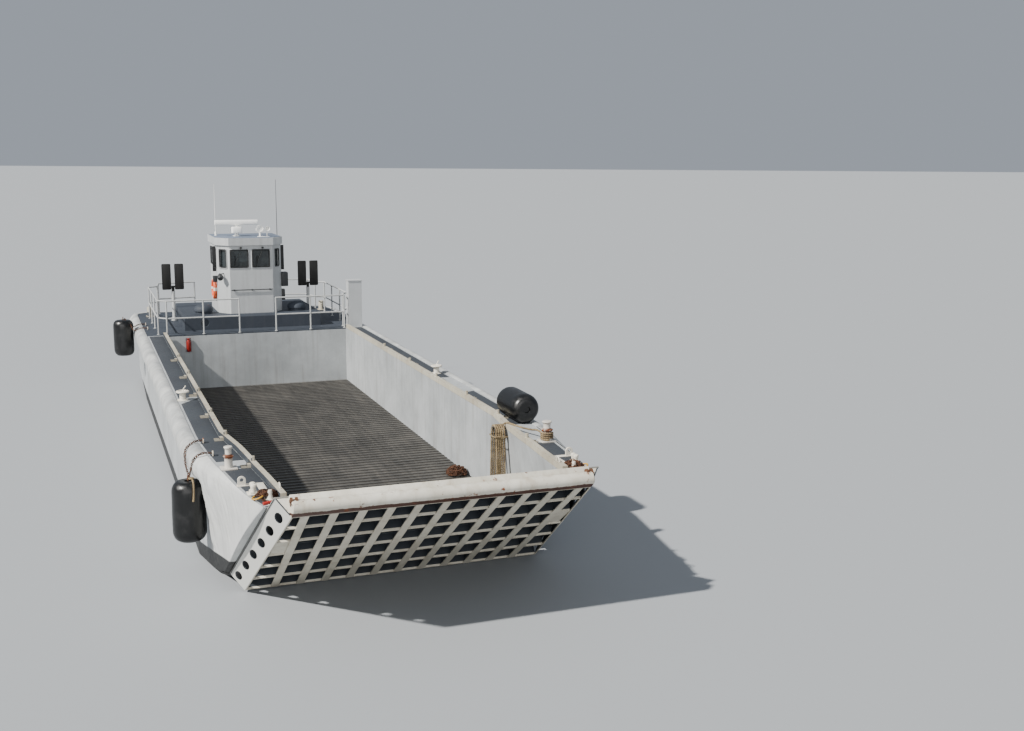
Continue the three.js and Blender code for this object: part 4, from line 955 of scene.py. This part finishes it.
# After deck
# The engine-room top: a deck plate with the raised trunk that carries the pilothouse, a hinged hatch to the
# steering flat, two round air inlets and the mooring posts of the quarters.
deck_grey = painted_steel("deck grey", (54, 61, 71), (46, 52, 61), grime=(84, 84, 82), patches=0.9,
                          streaks=0.15, gloss=0.6, rust=0.12, rust_scale=3.0, grain=0.001, wear=0.3,
                          under=(130, 132, 132))
dress(deck_grey, "after_deck", "engine_trunk", "aft_hatch_lid")
DOME = [(0, 0), (0.24, 0), (0.24, 0.06), (0.262, 0.064), (0.27, 0.074), (0.27, 0.09), (0.262, 0.138),
        (0.24, 0.18), (0.204, 0.216), (0.15, 0.244), (0.08, 0.262), (0, 0.268)]
TRUNK_TOP, BOLT_OUT = 3.2503, 0.225
for name, side in SIDES:
    bolt = turned([(0, 0), (0.014, 0), (0.014, 0.012), (0, 0.014)], 6)
    bolts = [moved(bolt, at(BOLT_OUT * cos(pi * k / 4), BOLT_OUT * sin(pi * k / 4), 0.1)) for k in range(8)]
    inlet = moved(joined(turned(DOME, 48), *bolts), at(-7.48, side * 1.32, TRUNK_TOP))
    add_piece(f"air_inlet_{name}", inlet, deck_grey, replaces=[f"dome_vent_{name}"])
    post = turned([(0, 0.008), (0.088, 0.008), (0.08, 0.03), (0.08, 0.272), (0.074, 0.292), (0.05, 0.3),
                   (0, 0.302)], 32)
    cross = bar([(x, 0, 0.2) for x in (-0.15, -0.144, 0.144, 0.15)], 0.022, 16, sizes=[0.8, 1, 1, 0.8])
    foot = slab((-0.13, -0.11, 0.0003), (0.13, 0.11, 0.022), 0.004)
    add_piece(f"quarter_post_{name}", moved(joined(post, cross, foot), at(-10.3, side * 2.61, DECK)),
              rim_grey, replaces=[f"bollard_{name}"])

# Pilothouse
# A small steering house of welded aluminium plate with cut-off fore corners, bolted to the trunk. Its panes
# sit in black rubber gaskets, and a plate door closes it aft.
WINDOW_LOW, WINDOW_HIGH, ROOF = 4.55, 5.05, 5.3803
# Columns: x and y of the opening's middle, compass angle that it faces, width
OPENINGS = [(-7.1, -0.33, 0, 0.5), (-7.1, 0.275, 0, 0.49), (-7.3, 0.75, 53.13, 0.26),
            (-7.3, -0.75, -53.13, 0.26), (-8.625, 0.9, 90, 0.55), (-7.955, 0.9, 90, 0.55),
            (-8.625, -0.9, -90, 0.55), (-7.955, -0.9, -90, 0.55), (-9.1, 0.64, 180, 0.32),
            (-9.1, -0.64, 180, 0.32)]
house_grey = painted_steel("house grey", (186, 189, 190), (168, 171, 173), rust=0.08, streaks=0.25, wear=0.4,
                           waves=0.0012)
dress(house_grey, "house_walls", "house_door", "house_roof")
rubber_finish, tree, shader, where = new_finish("gasket rubber", Roughness=0.6)
wire(tree, shader, blended(tree, speckle(tree, where, 30.0), tone(26, 27, 28), tone(44, 44, 45)))


def rounded_box(half_wide, low, high, corner):
    """A rectangle with round corners, as points across and up."""
    points = []
    for across, up, first in ((1, 1, 0), (-1, 1, 90), (-1, -1, 180), (1, -1, 270)):
        for k in range(5):
            turn = radians(first + 90 * k / 4)
            points.append((across * (half_wide - corner) + corner * cos(turn),
                           (high - corner if up > 0 else low + corner) + corner * sin(turn)))
    return points


def flat_section(thick, broad):
    """The section of a flat bar, as half its thickness and half its breadth."""
    return [(thick, broad), (-thick, broad), (-thick, -broad), (thick, -broad)]


def window_strip(opening, spare, section):
    """A strip closed round a window's opening, larger or smaller than it by the spare."""
    x, y, degrees, wide = opening
    turn = radians(degrees)
    out, across = Vector((cos(turn), sin(turn), 0)), Vector((-sin(turn), cos(turn), 0))
    outline = rounded_box(wide / 2 - spare, WINDOW_LOW + spare, WINDOW_HIGH - spare, 0.04)
    path = [Vector((x, y, 0)) + across * aside + out * 0.004 + Vector((0, 0, up)) for aside, up in outline]
    return swept(path, section, closed=True)


gaskets = [window_strip(opening, 0.004, flat_section(0.010, 0.014)) for opening in OPENINGS]
frames = [window_strip(opening, -0.024, flat_section(0.006, 0.016)) for opening in OPENINGS]
add_piece("window_gaskets", joined(*gaskets), rubber_finish)
add_piece("window_frames", joined(*frames), house_grey)

glass, tree, shader, where = new_finish("tinted glass", IOR=1.5, Transmission_Weight=0.55,
                                        Specular_IOR_Level=0.6)
smear = step_up(tree, speckle(tree, where, 7.0, 5.0), 0.3, 0.8)
wire(tree, shader, blended(tree, smear, tone(54, 62, 66), tone(70, 78, 80)), step_up(tree, smear, -0.6, 9.0))
dress(glass, "house_glass")

# Inside, seen through the windows: a steering stand with a wheel, and a pedestal seat
dark_gear = painted_steel("dark gear", (52, 55, 58), (42, 44, 47), wear=0.3, rust=0.02)
WHEEL, WHEEL_RADIUS = (-7.62, -0.16, 4.42), 0.2


def hoop(middle, radius, count, first=(1, 0, 0), second=(0, 1, 0)):
    """Points evenly round a circle in the plane of two directions."""
    points = []
    for turn in [2 * pi * k / count for k in range(count)]:
        points.append([here + radius * (cos(turn) * one + sin(turn) * two)
                       for here, one, two in zip(middle, first, second)])
    return points


wheel = bar(hoop(WHEEL, WHEEL_RADIUS, 32, (0, 1, 0), (0, 0, 1)), 0.012, 8, closed=True)
spokes = []
for turn in (pi / 2, pi * 7 / 6, pi * 11 / 6):
    rim = (WHEEL[0], WHEEL[1] + 0.195 * cos(turn), WHEEL[2] + 0.195 * sin(turn))
    spokes.append(bar([WHEEL, rim], 0.008, 8))
stand = plate([(-7.56, -0.55), (-7.22, -0.55), (-7.22, 0.45), (-7.56, 0.45)], TRUNK_TOP, 4.38, 0.02)
seat = joined(slab((-8.35, -0.38, 3.88), (-7.95, 0.06, 3.98), 0.03),
              slab((-8.42, -0.36, 4.0), (-8.33, 0.04, 4.5), 0.03),
              bar([(-8.15, -0.16, 3.26), (-8.15, -0.16, 3.88)], 0.045, 16))
shaft = bar([WHEEL, (-7.5, -0.16, 4.36)], 0.02)
add_piece("steering_stand", joined(stand, wheel, *spokes, shaft, seat), dark_gear)

# Outside: wipers under their motors, and an upright side board on brackets at each fore corner
fittings = []
for y in (-0.33, 0.275):
    fittings.append(bar([(-7.085, y + 0.05, 5.10), (-7.075, y + 0.02, 4.98), (-7.082, y - 0.12, 4.66)],
                        0.006, 8))
    fittings.append(slab((-7.1, y + 0.02, 5.085), (-7.06, y + 0.08, 5.13), 0.005))
    fittings.append(swept([(-7.084, y - 0.10, 4.88), (-7.084, y - 0.13, 4.60)], flat_section(0.004, 0.012)))
for side in (-1, 1):
    fittings.append(slab((-7.64, side * 0.96 - 0.05, 4.42), (-7.61, side * 0.96 + 0.05, 5.13), 0.006))
    for z in (4.5, 5.03):
        fittings.append(slab((-7.66, side * 0.93 - 0.03, z), (-7.60, side * 0.93 + 0.03, z + 0.03), 0.004))
black_gear = painted_steel("black gear", (30, 31, 33), (24, 25, 27), wear=0.2, rust=0.03)
add_piece("house_dark_fittings", joined(*fittings), black_gear)

# A pipe in saddles under the fore windows, junction boxes on the sides, and the door's bent handle
pipe = bar([(-7.07, -0.58, 3.92), (-7.07, 0.58, 3.92)], 0.013, 10)
saddles = [slab((-7.1, y - 0.02, 3.90), (-7.058, y + 0.02, 3.94), 0.003) for y in (-0.5, 0.0, 0.5)]
boxes = [slab((-7.75, 0.9003, 3.95), (-7.45, 1.09, 4.35), 0.012),
         slab((-7.68, 0.9003, 3.55), (-7.50, 1.0, 3.86), 0.01),
         slab((-7.62, -1.02, 4.12), (-7.5, -0.9003, 4.3), 0.01)]
add_piece("house_boxes", joined(pipe, *saddles, *boxes), dark_gear)
grip = [(-9.1, -0.27, 4.1), (-9.14, -0.27, 4.1), (-9.145, -0.25, 4.1), (-9.145, -0.14, 4.1)]
add_piece("door_handle", bar(smooth_line(grip, 0.01), 0.009, 10), bare_steel, body="door")

# The roof's coating, and a flood lamp on a bracket at the starboard fore corner
roof_paint = painted_steel("roof blue grey", (112, 124, 142), (98, 108, 124), wear=0.1, rust=0.05,
                           grain=0.001, gloss=0.55)
roof_top = [(-7.07, 0.58), (-7.07, -0.58), (-7.49, -0.93), (-9.13, -0.93), (-9.13, 0.93), (-7.49, 0.93)]
add_piece("roof_coating", plate(roof_top, ROOF, 5.384, 0.001), roof_paint)
hooded_lamp = joined(turned([(0, -0.09), (0.07, -0.09), (0.085, 0.0), (0.06, 0.06), (0, 0.08)], 24),
                     slab((-0.02, -0.02, 0.06), (0.02, 0.02, 0.12)))
lamp_tilt = Matrix.Rotation(radians(-50), 4, "Y")
add_piece("deck_flood_lamp", moved(hooded_lamp, at(-7.2, -0.86, 4.30) @ lamp_tilt), dark_gear)
bracket = bar([(-7.299, -0.751, 4.38), (-7.22, -0.845, 4.37)], 0.014, 10)
add_piece("lamp_bracket", bracket, dark_gear)

# Roof gear
# A small rotating radar scanner on its pedestal, a searchlight beside an air horn, and two whip aerials.
gear_white = painted_steel("gear white", (250, 250, 247), (238, 238, 233), grime=(170, 166, 156), rust=0.04,
                           streaks=0.2, gloss=0.3, wear=0.1)
RADAR_X, RADAR_Y, SCANNER_Z = -8.0, -0.26, 5.77
radar_foot = turned([(0, 0), (0.11, 0), (0.11, 0.015), (0.066, 0.02), (0.06, 0.04), (0.06, 0.096),
                     (0, 0.097)], 32)
housing = plate([(0.16 * a, 0.15 * b) for a, b in rounded_box(1, -1, 1, 0.35)], 0.095, 0.27, 0.025)
add_piece("radar_base", moved(joined(radar_foot, housing), at(RADAR_X, RADAR_Y, ROOF)), gear_white,
          replaces=["radar_pedestal"])
SCANNER_SECTION = [(-0.055, 0.0), (0.045, 0.0), (0.062, 0.012), (0.07, 0.045), (0.07, 0.105), (0.058, 0.132),
                   (0.04, 0.14), (-0.05, 0.14), (-0.06, 0.13), (-0.06, 0.01)]
# Columns: place along the scanner, size of the section there
SCANNER_STEPS = [(-0.605, 0.86), (-0.598, 0.96), (-0.58, 1), (0.58, 1), (0.598, 0.96), (0.605, 0.86)]
scanner = lofted([[Vector((RADAR_X + a * size, RADAR_Y + y, SCANNER_Z + (b - 0.07) * size))
                   for a, b in SCANNER_SECTION] for y, size in SCANNER_STEPS])
neck = turned([(0, 0.0003), (0.05, 0.0003), (0.05, 0.03), (0.036, 0.055), (0, 0.055)], 28)
add_piece("radar_scanner", joined(scanner, moved(neck, at(RADAR_X, RADAR_Y, 5.65))), gear_white, body="radar",
          replaces=["radar_array"])
LAMP_X, LAMP_Y, LAMP_Z = -7.5, 0.33, 5.62
HORN_Y = LAMP_Y + 0.2
facing_ahead = Matrix.Rotation(pi / 2, 4, "Y")
pillar = turned([(0, 0), (0.04, 0), (0.025, 0.012), (0.025, 0.13), (0, 0.1305)], 20)
lamp_base = joined(moved(pillar, at(LAMP_X, LAMP_Y, ROOF)),
                   slab((LAMP_X - 0.07, LAMP_Y - 0.07, ROOF), (LAMP_X + 0.07, LAMP_Y + 0.26, ROOF + 0.014)),
                   bar([(LAMP_X, HORN_Y, ROOF + 0.01), (LAMP_X, HORN_Y, 5.6)], 0.016, 14))
horn = turned([(0, -0.11), (0.022, -0.11), (0.024, -0.02), (0.03, 0.05), (0.044, 0.09), (0.07, 0.13),
               (0.064, 0.13), (0.036, 0.085), (0.02, 0.04), (0, 0.03)], 32)
horn = moved(horn, at(LAMP_X, HORN_Y, LAMP_Z) @ facing_ahead)
add_piece("searchlight_stand", joined(lamp_base, horn), gear_white,
          replaces=["searchlight_base"])
drum = turned([(0, -0.085), (0.05, -0.083), (0.078, -0.065), (0.084, -0.03), (0.09, 0.05), (0.096, 0.055),
               (0.096, 0.08), (0.088, 0.08), (0.086, 0.066), (0, 0.06)], 40)
yoke_line = [(LAMP_X, LAMP_Y + aside, z) for aside, z in
             ((-0.1, LAMP_Z), (-0.102, 5.56), (-0.06, 5.525), (0.06, 5.525), (0.102, 5.56), (0.1, LAMP_Z))]
yoke = joined(bar(smooth_line(yoke_line, 0.02), 0.009, 10),
              moved(turned([(0, 0.0003), (0.02, 0.0003), (0.02, 0.02), (0, 0.02)], 20),
                    at(LAMP_X, LAMP_Y, 5.51)))
add_piece("searchlight", joined(moved(drum, at(LAMP_X, LAMP_Y, LAMP_Z) @ facing_ahead), yoke), gear_white,
          body="searchlight", replaces=["searchlight_head"])
socket = turned([(0, 0), (0.045, 0), (0.045, 0.01), (0.028, 0.014), (0.028, 0.09), (0.018, 0.12), (0, 0.12)],
                20)
roof_mast = joined(moved(socket, at(-8.4, -0.8, ROOF)),
                   bar([(-8.4, -0.8, z) for z in (5.48, 6.1, 6.85)], 0.011, 10, sizes=[1, 0.7, 0.36]))
add_piece("whip_aerial_stbd", roof_mast, gear_white, replaces=["whip_stbd"])
side_mast = joined(slab((-8.53, 0.9003, 5.06), (-8.47, 1.0, 5.11), 0.005),
                   bar([(-8.5, 0.98, z) for z in (5.05, 5.2, 5.22, 6.98)], 0.02, 10,
                       sizes=[1, 0.9, 0.5, 0.25]))
add_piece("whip_aerial_port", side_mast, black_gear, replaces=["whip_port"])

# Rails and shields
# Guard rails of steel tube run round the after deck on welded posts. On each side a post carries a turning
# head with two ballistic plates, and nothing else is mounted on it.
RAIL_TOP, RAIL_MIDDLE, RAIL_THICK = 3.78, 3.31, 0.021
ACROSS = [(-6.165, 0.5), (-6.165, 1.465), (-6.165, 2.43)]
ALONG = [(-7.7, 2.64), (-8.8, 2.64), (-9.9, 2.64), (-10.06, 2.38), (-10.86, 2.3), (-11.08, 1.2)]


def eased(path, radius):
    """A path with its corners bent to an even curve."""
    path = [Vector(point) for point in path]
    line = [path[0]]
    for before, corner, after in zip(path, path[1:], path[2:]):
        back = min(radius, (corner - before).length / 2)
        front = min(radius, (after - corner).length / 2)
        start = corner + (before - corner).normalized() * back
        end = corner + (after - corner).normalized() * front
        for k in range(6):
            t = k / 5
            line.append(start * (1 - t) ** 2 + corner * 2 * t * (1 - t) + end * t * t)
    line.append(path[-1])
    return [point for k, point in enumerate(line) if not k or (point - line[k - 1]).length > 1e-4]


rail_paint = painted_steel("rail paint", (186, 188, 187), (166, 168, 168), rust=0.22, rust_scale=5.0,
                           wear=0.1, streaks=0.3)
rail_foot = turned([(0, 0.0003), (0.045, 0.0003), (0.045, 0.01), (0.026, 0.013), (0, 0.013)], 16)
for name, side, corner in (("stbd", -1, [(-6.42, 2.64)]), ("port", 1, [(-6.52, 2.47), (-6.76, 2.64)])):
    path = [(x, side * y) for x, y in ACROSS + corner + ALONG]
    tubes = [bar(eased([(x, y, z) for x, y in path], 0.09), RAIL_THICK - 0.001)
             for z in (RAIL_TOP, RAIL_MIDDLE)]
    for x, y in path:
        tubes.append(bar([(x, y, DECK + 0.0003), (x, y, RAIL_TOP)], RAIL_THICK))
        tubes.append(moved(rail_foot, at(x, y, DECK)))
    add_piece(f"guard_rails_{name}", joined(*tubes), rail_paint, replaces=[f"rails_{name}"])

shield_black = painted_steel("shield black", (7, 8, 8), (5, 6, 6), grime=(46, 44, 42), streaks=0.3, rust=0.05,
                             wear=0.5, under=(70, 66, 60))
SHIELD_X, SHIELD_Y, SHIELD_TURN, SHIELD_TOP = -9.2, 1.99, 3.72, 4.53
RIB_THICK, RIB_LONG, PLATE_WIDE, PLATE_OUT = 0.004, 0.075, 0.26, 0.18
for name, side in SIDES:
    y = side * SHIELD_Y
    post = turned([(0, 0.0003), (0.082, 0.0003), (0.082, 0.025), (0.054, 0.032), (0.05, 0.05),
                   (0.05, SHIELD_TURN - DECK), (0, SHIELD_TURN - DECK)], 32)
    ribs = [slab((-x, -along, 0.02), (x, along, 0.11), 0.002)
            for x, along in ((RIB_THICK, RIB_LONG), (RIB_LONG, RIB_THICK))]
    add_piece(f"shield_stand_{name}", moved(joined(post, *ribs), at(SHIELD_X, y, DECK)), rail_paint,
              replaces=[f"shield_post_{name}"])
    spindle = turned([(0, 0.0003), (0.042, 0.0003), (0.042, 0.13), (0, 0.13)], 28)
    low, high = SHIELD_TURN + 0.05, SHIELD_TOP
    parts = [moved(spindle, at(SHIELD_X, y, SHIELD_TURN)),
             slab((SHIELD_X - 0.02, y - 0.28, SHIELD_TURN + 0.11),
                  (SHIELD_X + 0.05, y + 0.28, SHIELD_TURN + 0.16), 0.006)]
    for middle in (y - PLATE_OUT, y + PLATE_OUT):
        board = plate(rounded_box(PLATE_WIDE / 2, low, high, 0.03), -0.007, 0.007, 0.002)
        parts.append(moved(board, at(SHIELD_X + 0.057, middle, 0) @ stood_up))
        parts.append(slab((SHIELD_X + 0.03, middle - 0.02, low + 0.05),
                          (SHIELD_X + 0.05, middle + 0.02, high - 0.1), 0.004))
    add_piece(f"shield_plates_{name}", joined(*parts), shield_black, body=f"shield_{name}",
              replaces=[f"shield_head_{name}"])
dress(house_grey, "port_locker")

# Mooring posts and vents of the side decks
# A cast post stands on each bow, wide below and slim above its collar, with a mushroom vent farther aft. The
# paint is thick and white-grey, and rust bleeds from under the collar.
COLLAR_LOW, COLLAR_HIGH = 3.03, 3.075


def collar_rust(tree, where):
    """A rusty band round the post's collar."""
    height = axes(tree, where)["Z"]
    above_foot = step_up(tree, height, COLLAR_LOW - 0.03, COLLAR_LOW)
    below_head = step_up(tree, height, COLLAR_HIGH + 0.02, COLLAR_HIGH)
    patchy = step_up(tree, speckle(tree, where, 9.0, 5.0, 0.7), 0.38, 0.5)
    return times(tree, times(tree, above_foot, below_head), patchy)


post_paint = painted_steel("post paint", (208, 205, 198), (184, 180, 172), rust=0.3, rust_scale=5.0,
                           streaks=0.4, grime=(150, 118, 84), wear=0.4, extra_rust=collar_rust)
POST_PROFILE = [(0, 0.01), (0.092, 0.01), (0.08, 0.03), (0.08, 0.182), (0.086, 0.19), (0.1, 0.192),
                (0.104, 0.197), (0.104, 0.207), (0.098, 0.212), (0.068, 0.213), (0.062, 0.222),
                (0.062, 0.3), (0.068, 0.318), (0.086, 0.334), (0.086, 0.346), (0.074, 0.355), (0, 0.3555)]
VENT_PROFILE = [(0, 0), (0.11, 0), (0.11, 0.012), (0.07, 0.014), (0.062, 0.024), (0.062, 0.148), (0.1, 0.15),
                (0.122, 0.158), (0.13, 0.172), (0.122, 0.187), (0.1, 0.195), (0.082, 0.19), (0.07, 0.172),
                (0, 0.168)]
vent_white = painted_steel("vent white", (228, 224, 212), (206, 200, 186), rust=0.22, rust_scale=7.0,
                           streaks=0.2, wear=0.3)
for name, side, vent_x, vent_y in (("stbd", -1, 2.72, 2.84), ("port", 1, 1.56, 2.77)):
    foot = slab((-0.13, -0.125, 0.0003), (0.13, 0.125, 0.022), 0.004)
    slim = 0.78 if side < 0 else 1.0
    profile = [(radius * slim, height) for radius, height in POST_PROFILE]
    add_piece(f"mooring_post_{name}", moved(joined(turned(profile, 48), foot), at(8.25, side * 2.66, DECK)),
              post_paint, replaces=[f"bitt_{name}"])
    lever = bar([(0, 0, 0.16), (-0.02, 0.02, 0.22), (-0.075, 0.07, 0.27)], 0.011, 12)
    vent = moved(joined(turned(VENT_PROFILE, 40), lever), at(vent_x, side * vent_y, DECK + 0.0003))
    add_piece(f"vent_{name}", vent, vent_white, replaces=[f"mushroom_vent_{name}"])

# Bow gear
# On each bow a doubler plate carries a padeye, a two-horned fairlead, a lamp stand and a locking bar for the
# ramp, and the ramp's securing chain is dropped there in a heap with its brass-yellow ring.
yellow_paint = painted_steel("ring yellow", (206, 160, 44), (180, 134, 38), rust=0.25, rust_scale=8.0,
                             wear=0.4)
bar_red = painted_steel("bar red", (168, 46, 36), (138, 40, 34), rust=0.3, rust_scale=6.0, wear=0.3)
BOW_RING = 0.078


def deck_slab(side, x0, x1, near, far, low, high, soft=0.003):
    """A slab on one side's deck, between two distances from the centre line."""
    y0, y1 = sorted((side * near, side * far))
    return slab((x0, y0, DECK + low), (x1, y1, DECK + high), soft)


for name, side in SIDES:
    doubler = [deck_slab(side, *reach, 0.0003, 0.014) for reach in
               ((9.24, 10.44, 2.29, 2.40), (9.24, 9.34, 2.39, 2.68), (9.65, 9.85, 2.39, 2.595))]
    padeye = moved(eye_plate(0.12, 0.14, 0.028, 0.03, 0.085),
                   at(9.305, side * 2.61, DECK + 0.01) @ Matrix.Rotation(pi / 2, 4, "Z"))
    horn = turned([(0, 0), (0.032, 0), (0.03, 0.05), (0.038, 0.075), (0.046, 0.1), (0.04, 0.12), (0.02, 0.13),
                   (0, 0.131)], 28)
    horns = [moved(horn, at(9.75 + offset, side * 2.51, DECK + 0.03)) for offset in (-0.05, 0.05)]
    lamp_stand = turned([(0, 0.0), (0.05, 0.0), (0.045, 0.02), (0.03, 0.07), (0.034, 0.09), (0.026, 0.13),
                         (0, 0.132)], 24)
    fittings = joined(*doubler, padeye, deck_slab(side, 9.67, 9.83, 2.46, 2.56, 0.01, 0.05, 0.01), *horns,
                      moved(lamp_stand, at(10.12, side * 2.33, DECK + 0.01)))
    add_piece(f"bow_fittings_{name}", fittings, vent_white, replaces=[f"bow_gear_{name}"])
    bar_line = [(10.45, side * 2.48, DECK + 0.045), (10.42, side * 2.34, DECK + 0.06),
                (10.36, side * 2.18, DECK + 0.045)]
    locking_bar = joined(bar(bar_line, 0.024, 16), deck_slab(side, 10.36, 10.43, 2.30, 2.36, 0.01, 0.055))
    add_piece(f"locking_bar_{name}", locking_bar, bar_red)
    chain_ring = bar(hoop((0, 0, 0), BOW_RING, 32), 0.012, 10, closed=True)
    leaning = at(10.09, side * 2.5, DECK + 0.045) @ Matrix.Rotation(radians(16), 4, "X")
    add_piece(f"chain_ring_{name}", moved(chain_ring, leaning), yellow_paint)
    heaped = chain(heap(10.02, side * 2.36, DECK, 0.17, 8, 11 + side, rise=0.16), 0.015)
    laid_out = chain([(10.0, side * 2.42, DECK + 0.03), (10.15, side * 2.44, DECK + 0.02),
                      (10.3, side * 2.36, DECK + 0.02)], 0.013)
    add_piece(f"bow_chain_{name}", joined(heaped, laid_out), rusty_chain)
    arch = [(9.9 + 0.06 * cos(pi * k / 10), side * 2.16, DECK + 0.1 + 0.07 * sin(pi * k / 10))
            for k in range(11)]
    add_piece(f"rim_ring_{name}", bar(arch, 0.01, 10), vent_white)

# Fenders
# Foam cylinders in a black rubber skin, hung in chains from padeyes on the deck's edge: two over the
# starboard guard, and one taken in on the port side deck.
FENDER_RADIUS, FENDER_LONG = 0.272, 1.0
fender_black, tree, shader, where = new_finish("fender rubber", Specular_IOR_Level=0.5)
scuffs = step_up(tree, speckle(tree, where, 5.0, 8.0, 0.72), 0.5, 0.8)
fine = speckle(tree, where, 60.0, 4.0)
wire(tree, shader, blended(tree, scuffs, tone(8, 9, 10), tone(36, 36, 37)), step_up(tree, scuffs, -0.7, 1.6),
     times(tree, fine, 0.0015))


def fender_body(seed):
    """A fat roll with domed shoulders, a recess at each end and a few dents."""
    shoulder = [(0.15, 0.0), (0.185, 0.006), (0.215, 0.024), (0.243, 0.056), (0.262, 0.1),
                (FENDER_RADIUS, 0.15)]
    profile = [(0, 0.03), (0.05, 0.03), (0.06, 0.0), (0.12, 0.0)] + shoulder
    profile += [(FENDER_RADIUS, 0.15 + (FENDER_LONG - 0.3) * k / 8) for k in range(1, 8)]
    profile += [(radius, FENDER_LONG - height) for radius, height in reversed(shoulder)]
    profile += [(0.12, FENDER_LONG), (0.06, FENDER_LONG), (0.05, FENDER_LONG - 0.03), (0, FENDER_LONG - 0.03)]
    corners, faces = turned(profile, 56)
    shaped = []
    for corner in corners:
        around = Vector((corner.x, corner.y, 0))
        dent = max(0, noise.noise(corner * 2.2 + Vector((seed, 0, 0)))) * 0.014
        shaped.append(corner - around.normalized() * dent if around.length > 0.2 else corner)
    return shaped, faces


fender_places = {
    "fore": at(7.15, -3.185, 1.415),
    "aft": at(-7.88, -3.4853, 2.1),
    "port": at(5.995, 2.80, 3.1253) @ Matrix.Rotation(pi / 2, 4, "Y"),
}
for k, (name, place) in enumerate(fender_places.items()):
    add_piece(f"fender_roll_{name}", moved(fender_body(3.7 * k), place), fender_black,
              replaces=[f"fender_{name}"], crease=50)
fender_top = {"fore": (7.15, -3.185, 2.42), "aft": (-7.88, -3.4853, 3.105)}
# Columns: fender, x and y of the padeye on the deck, x and y where the chain crosses the guard's crest
HANGERS = [("fore", 6.45, -2.85, 6.6, -3.13), ("fore", 7.38, -2.80, 7.34, -3.07),
           ("aft", -8.3, -2.86, -8.25, -3.2), ("aft", -7.45, -2.86, -7.5, -3.2)]
hanger_chains, hanger_eyes = [], []
for k, (name, x, y, crest_x, crest_y) in enumerate(HANGERS):
    top = fender_top[name]
    hanger_eyes.append(moved(eye_plate(0.1, 0.085, 0.022, 0.016, 0.045), at(x, y, DECK + 0.003)))
    line = [(x, y - 0.02, DECK + 0.05), ((x + crest_x) / 2, (y + crest_y) / 2 - 0.01, 2.905),
            (crest_x, crest_y, 2.84)]
    if name == "fore":
        line += [((crest_x + top[0]) / 2, crest_y - 0.06, 2.66),
                 (top[0] + 0.02, top[1] + 0.02, top[2] + 0.05)]
    else:
        line += [((crest_x + top[0]) / 2, crest_y - 0.1, 2.98), (top[0], top[1] + 0.03, top[2] + 0.04)]
    hanger_chains.append(chain(line, 0.013, seed=20 + k))
eye_paint = painted_steel("eye paint", (214, 206, 190), (196, 186, 166), rust=0.8, rust_scale=9.0,
                          streaks=0.3, wear=0.5)
add_piece("fender_hanger_eyes", joined(*hanger_eyes), eye_paint)
add_piece("fender_hanger_chains", joined(*hanger_chains), rusty_chain)
shackles = []
for name, (x, y, z) in fender_top.items():
    bow = [(x + 0.035 * cos(turn), y, z + 0.03 + 0.045 * sin(turn))
           for turn in [pi * (k - 2) / 10 for k in range(15)]]
    shackles.append(bar(bow, 0.011, 10))
    shackles.append(bar([(x - 0.05, y, z + 0.004), (x + 0.05, y, z + 0.004)], 0.01, 10))
add_piece("fender_shackles", joined(*shackles), rusty_steel)
TAIL_THICK = 0.03
tail_line = smooth_line([(7.17, -3.16, 2.475), (7.22, -3.13, 2.452), (7.31, -3.12, 2.437),
                         (7.385, -3.12, 2.396), (7.427, -3.125, 2.31), (7.438, -3.13, 2.22),
                         (7.439, -3.14, 2.13)], 0.015)
knot = bar(hoop((7.2, -3.135, 2.462), 0.034, 16), TAIL_THICK / 2, closed=True)
fender_knot = add_piece("fender_knot", knot, rope_fibre)
fender_tail = add_piece("fender_rope_tail", bar(tail_line, TAIL_THICK / 2), rope_fibre)

# Life ring and what is under water
# A foam life ring hangs on the house's side. Below, bronze screws turn ahead of balanced rudders, and the
# two engines stand in the after hull.
RING = {"x": -7.95, "y": -0.948, "z": 3.9, "big": 0.255, "small": 0.055}
ring_orange, tree, shader, where = new_finish("ring orange", Roughness=0.55)
from_middle = put(tree, "ShaderNodeVectorMath", {0: where, 1: (-RING["x"], 0, -RING["z"])}, operation="ADD")
spot = axes(tree, from_middle)
angle = sums(tree, "ARCTAN2", spot["Z"], spot["X"])
bands = step_up(tree, sums(tree, "COSINE", times(tree, angle, 4.0)), 0.80, 0.84)
faded = speckle(tree, where, 12.0, 5.0)
color = blended(tree, faded, tone(206, 66, 26), tone(226, 96, 44))
wire(tree, shader, blended(tree, bands, color, tone(214, 212, 204)), None, times(tree, faded, 0.002))
ring_middle = (RING["x"], RING["y"], RING["z"])
ring_line = hoop(ring_middle, RING["big"], 64, (1, 0, 0), (0, 0, 1))
grab_line = []
for turn in [2 * pi * k / 96 for k in range(96)]:
    out = 0.316 + 0.006 * cos(4 * turn)
    grab_line.append((RING["x"] + out * cos(turn), RING["y"], RING["z"] + out * sin(turn)))
add_piece("life_ring_foam", bar(ring_line, RING["small"] - 0.001, 24, closed=True), ring_orange,
          replaces=["life_ring"])
add_piece("life_ring_grab_line", bar(grab_line, 0.006, 8, closed=True), rope_fibre)
bronze = painted_steel("screw bronze", (150, 118, 66), (116, 98, 62), grime=(70, 84, 66), streaks=0.3,
                       rust=0.0, gloss=0.3, wear=0.2)
dress(bronze, "screw_stbd", "screw_port")
bottom_black = painted_steel("bottom black", (34, 35, 37), (26, 27, 30), grime=(58, 60, 56), streaks=0.5,
                             rust=0.1, waves=0.003, under=(70, 60, 52))
dress(bottom_black, "rudder_stbd", "rudder_port")
dress(painted_steel("engine green grey", (112, 124, 110), (98, 108, 96), rust=0.1), "engine_stbd",
      "engine_port")
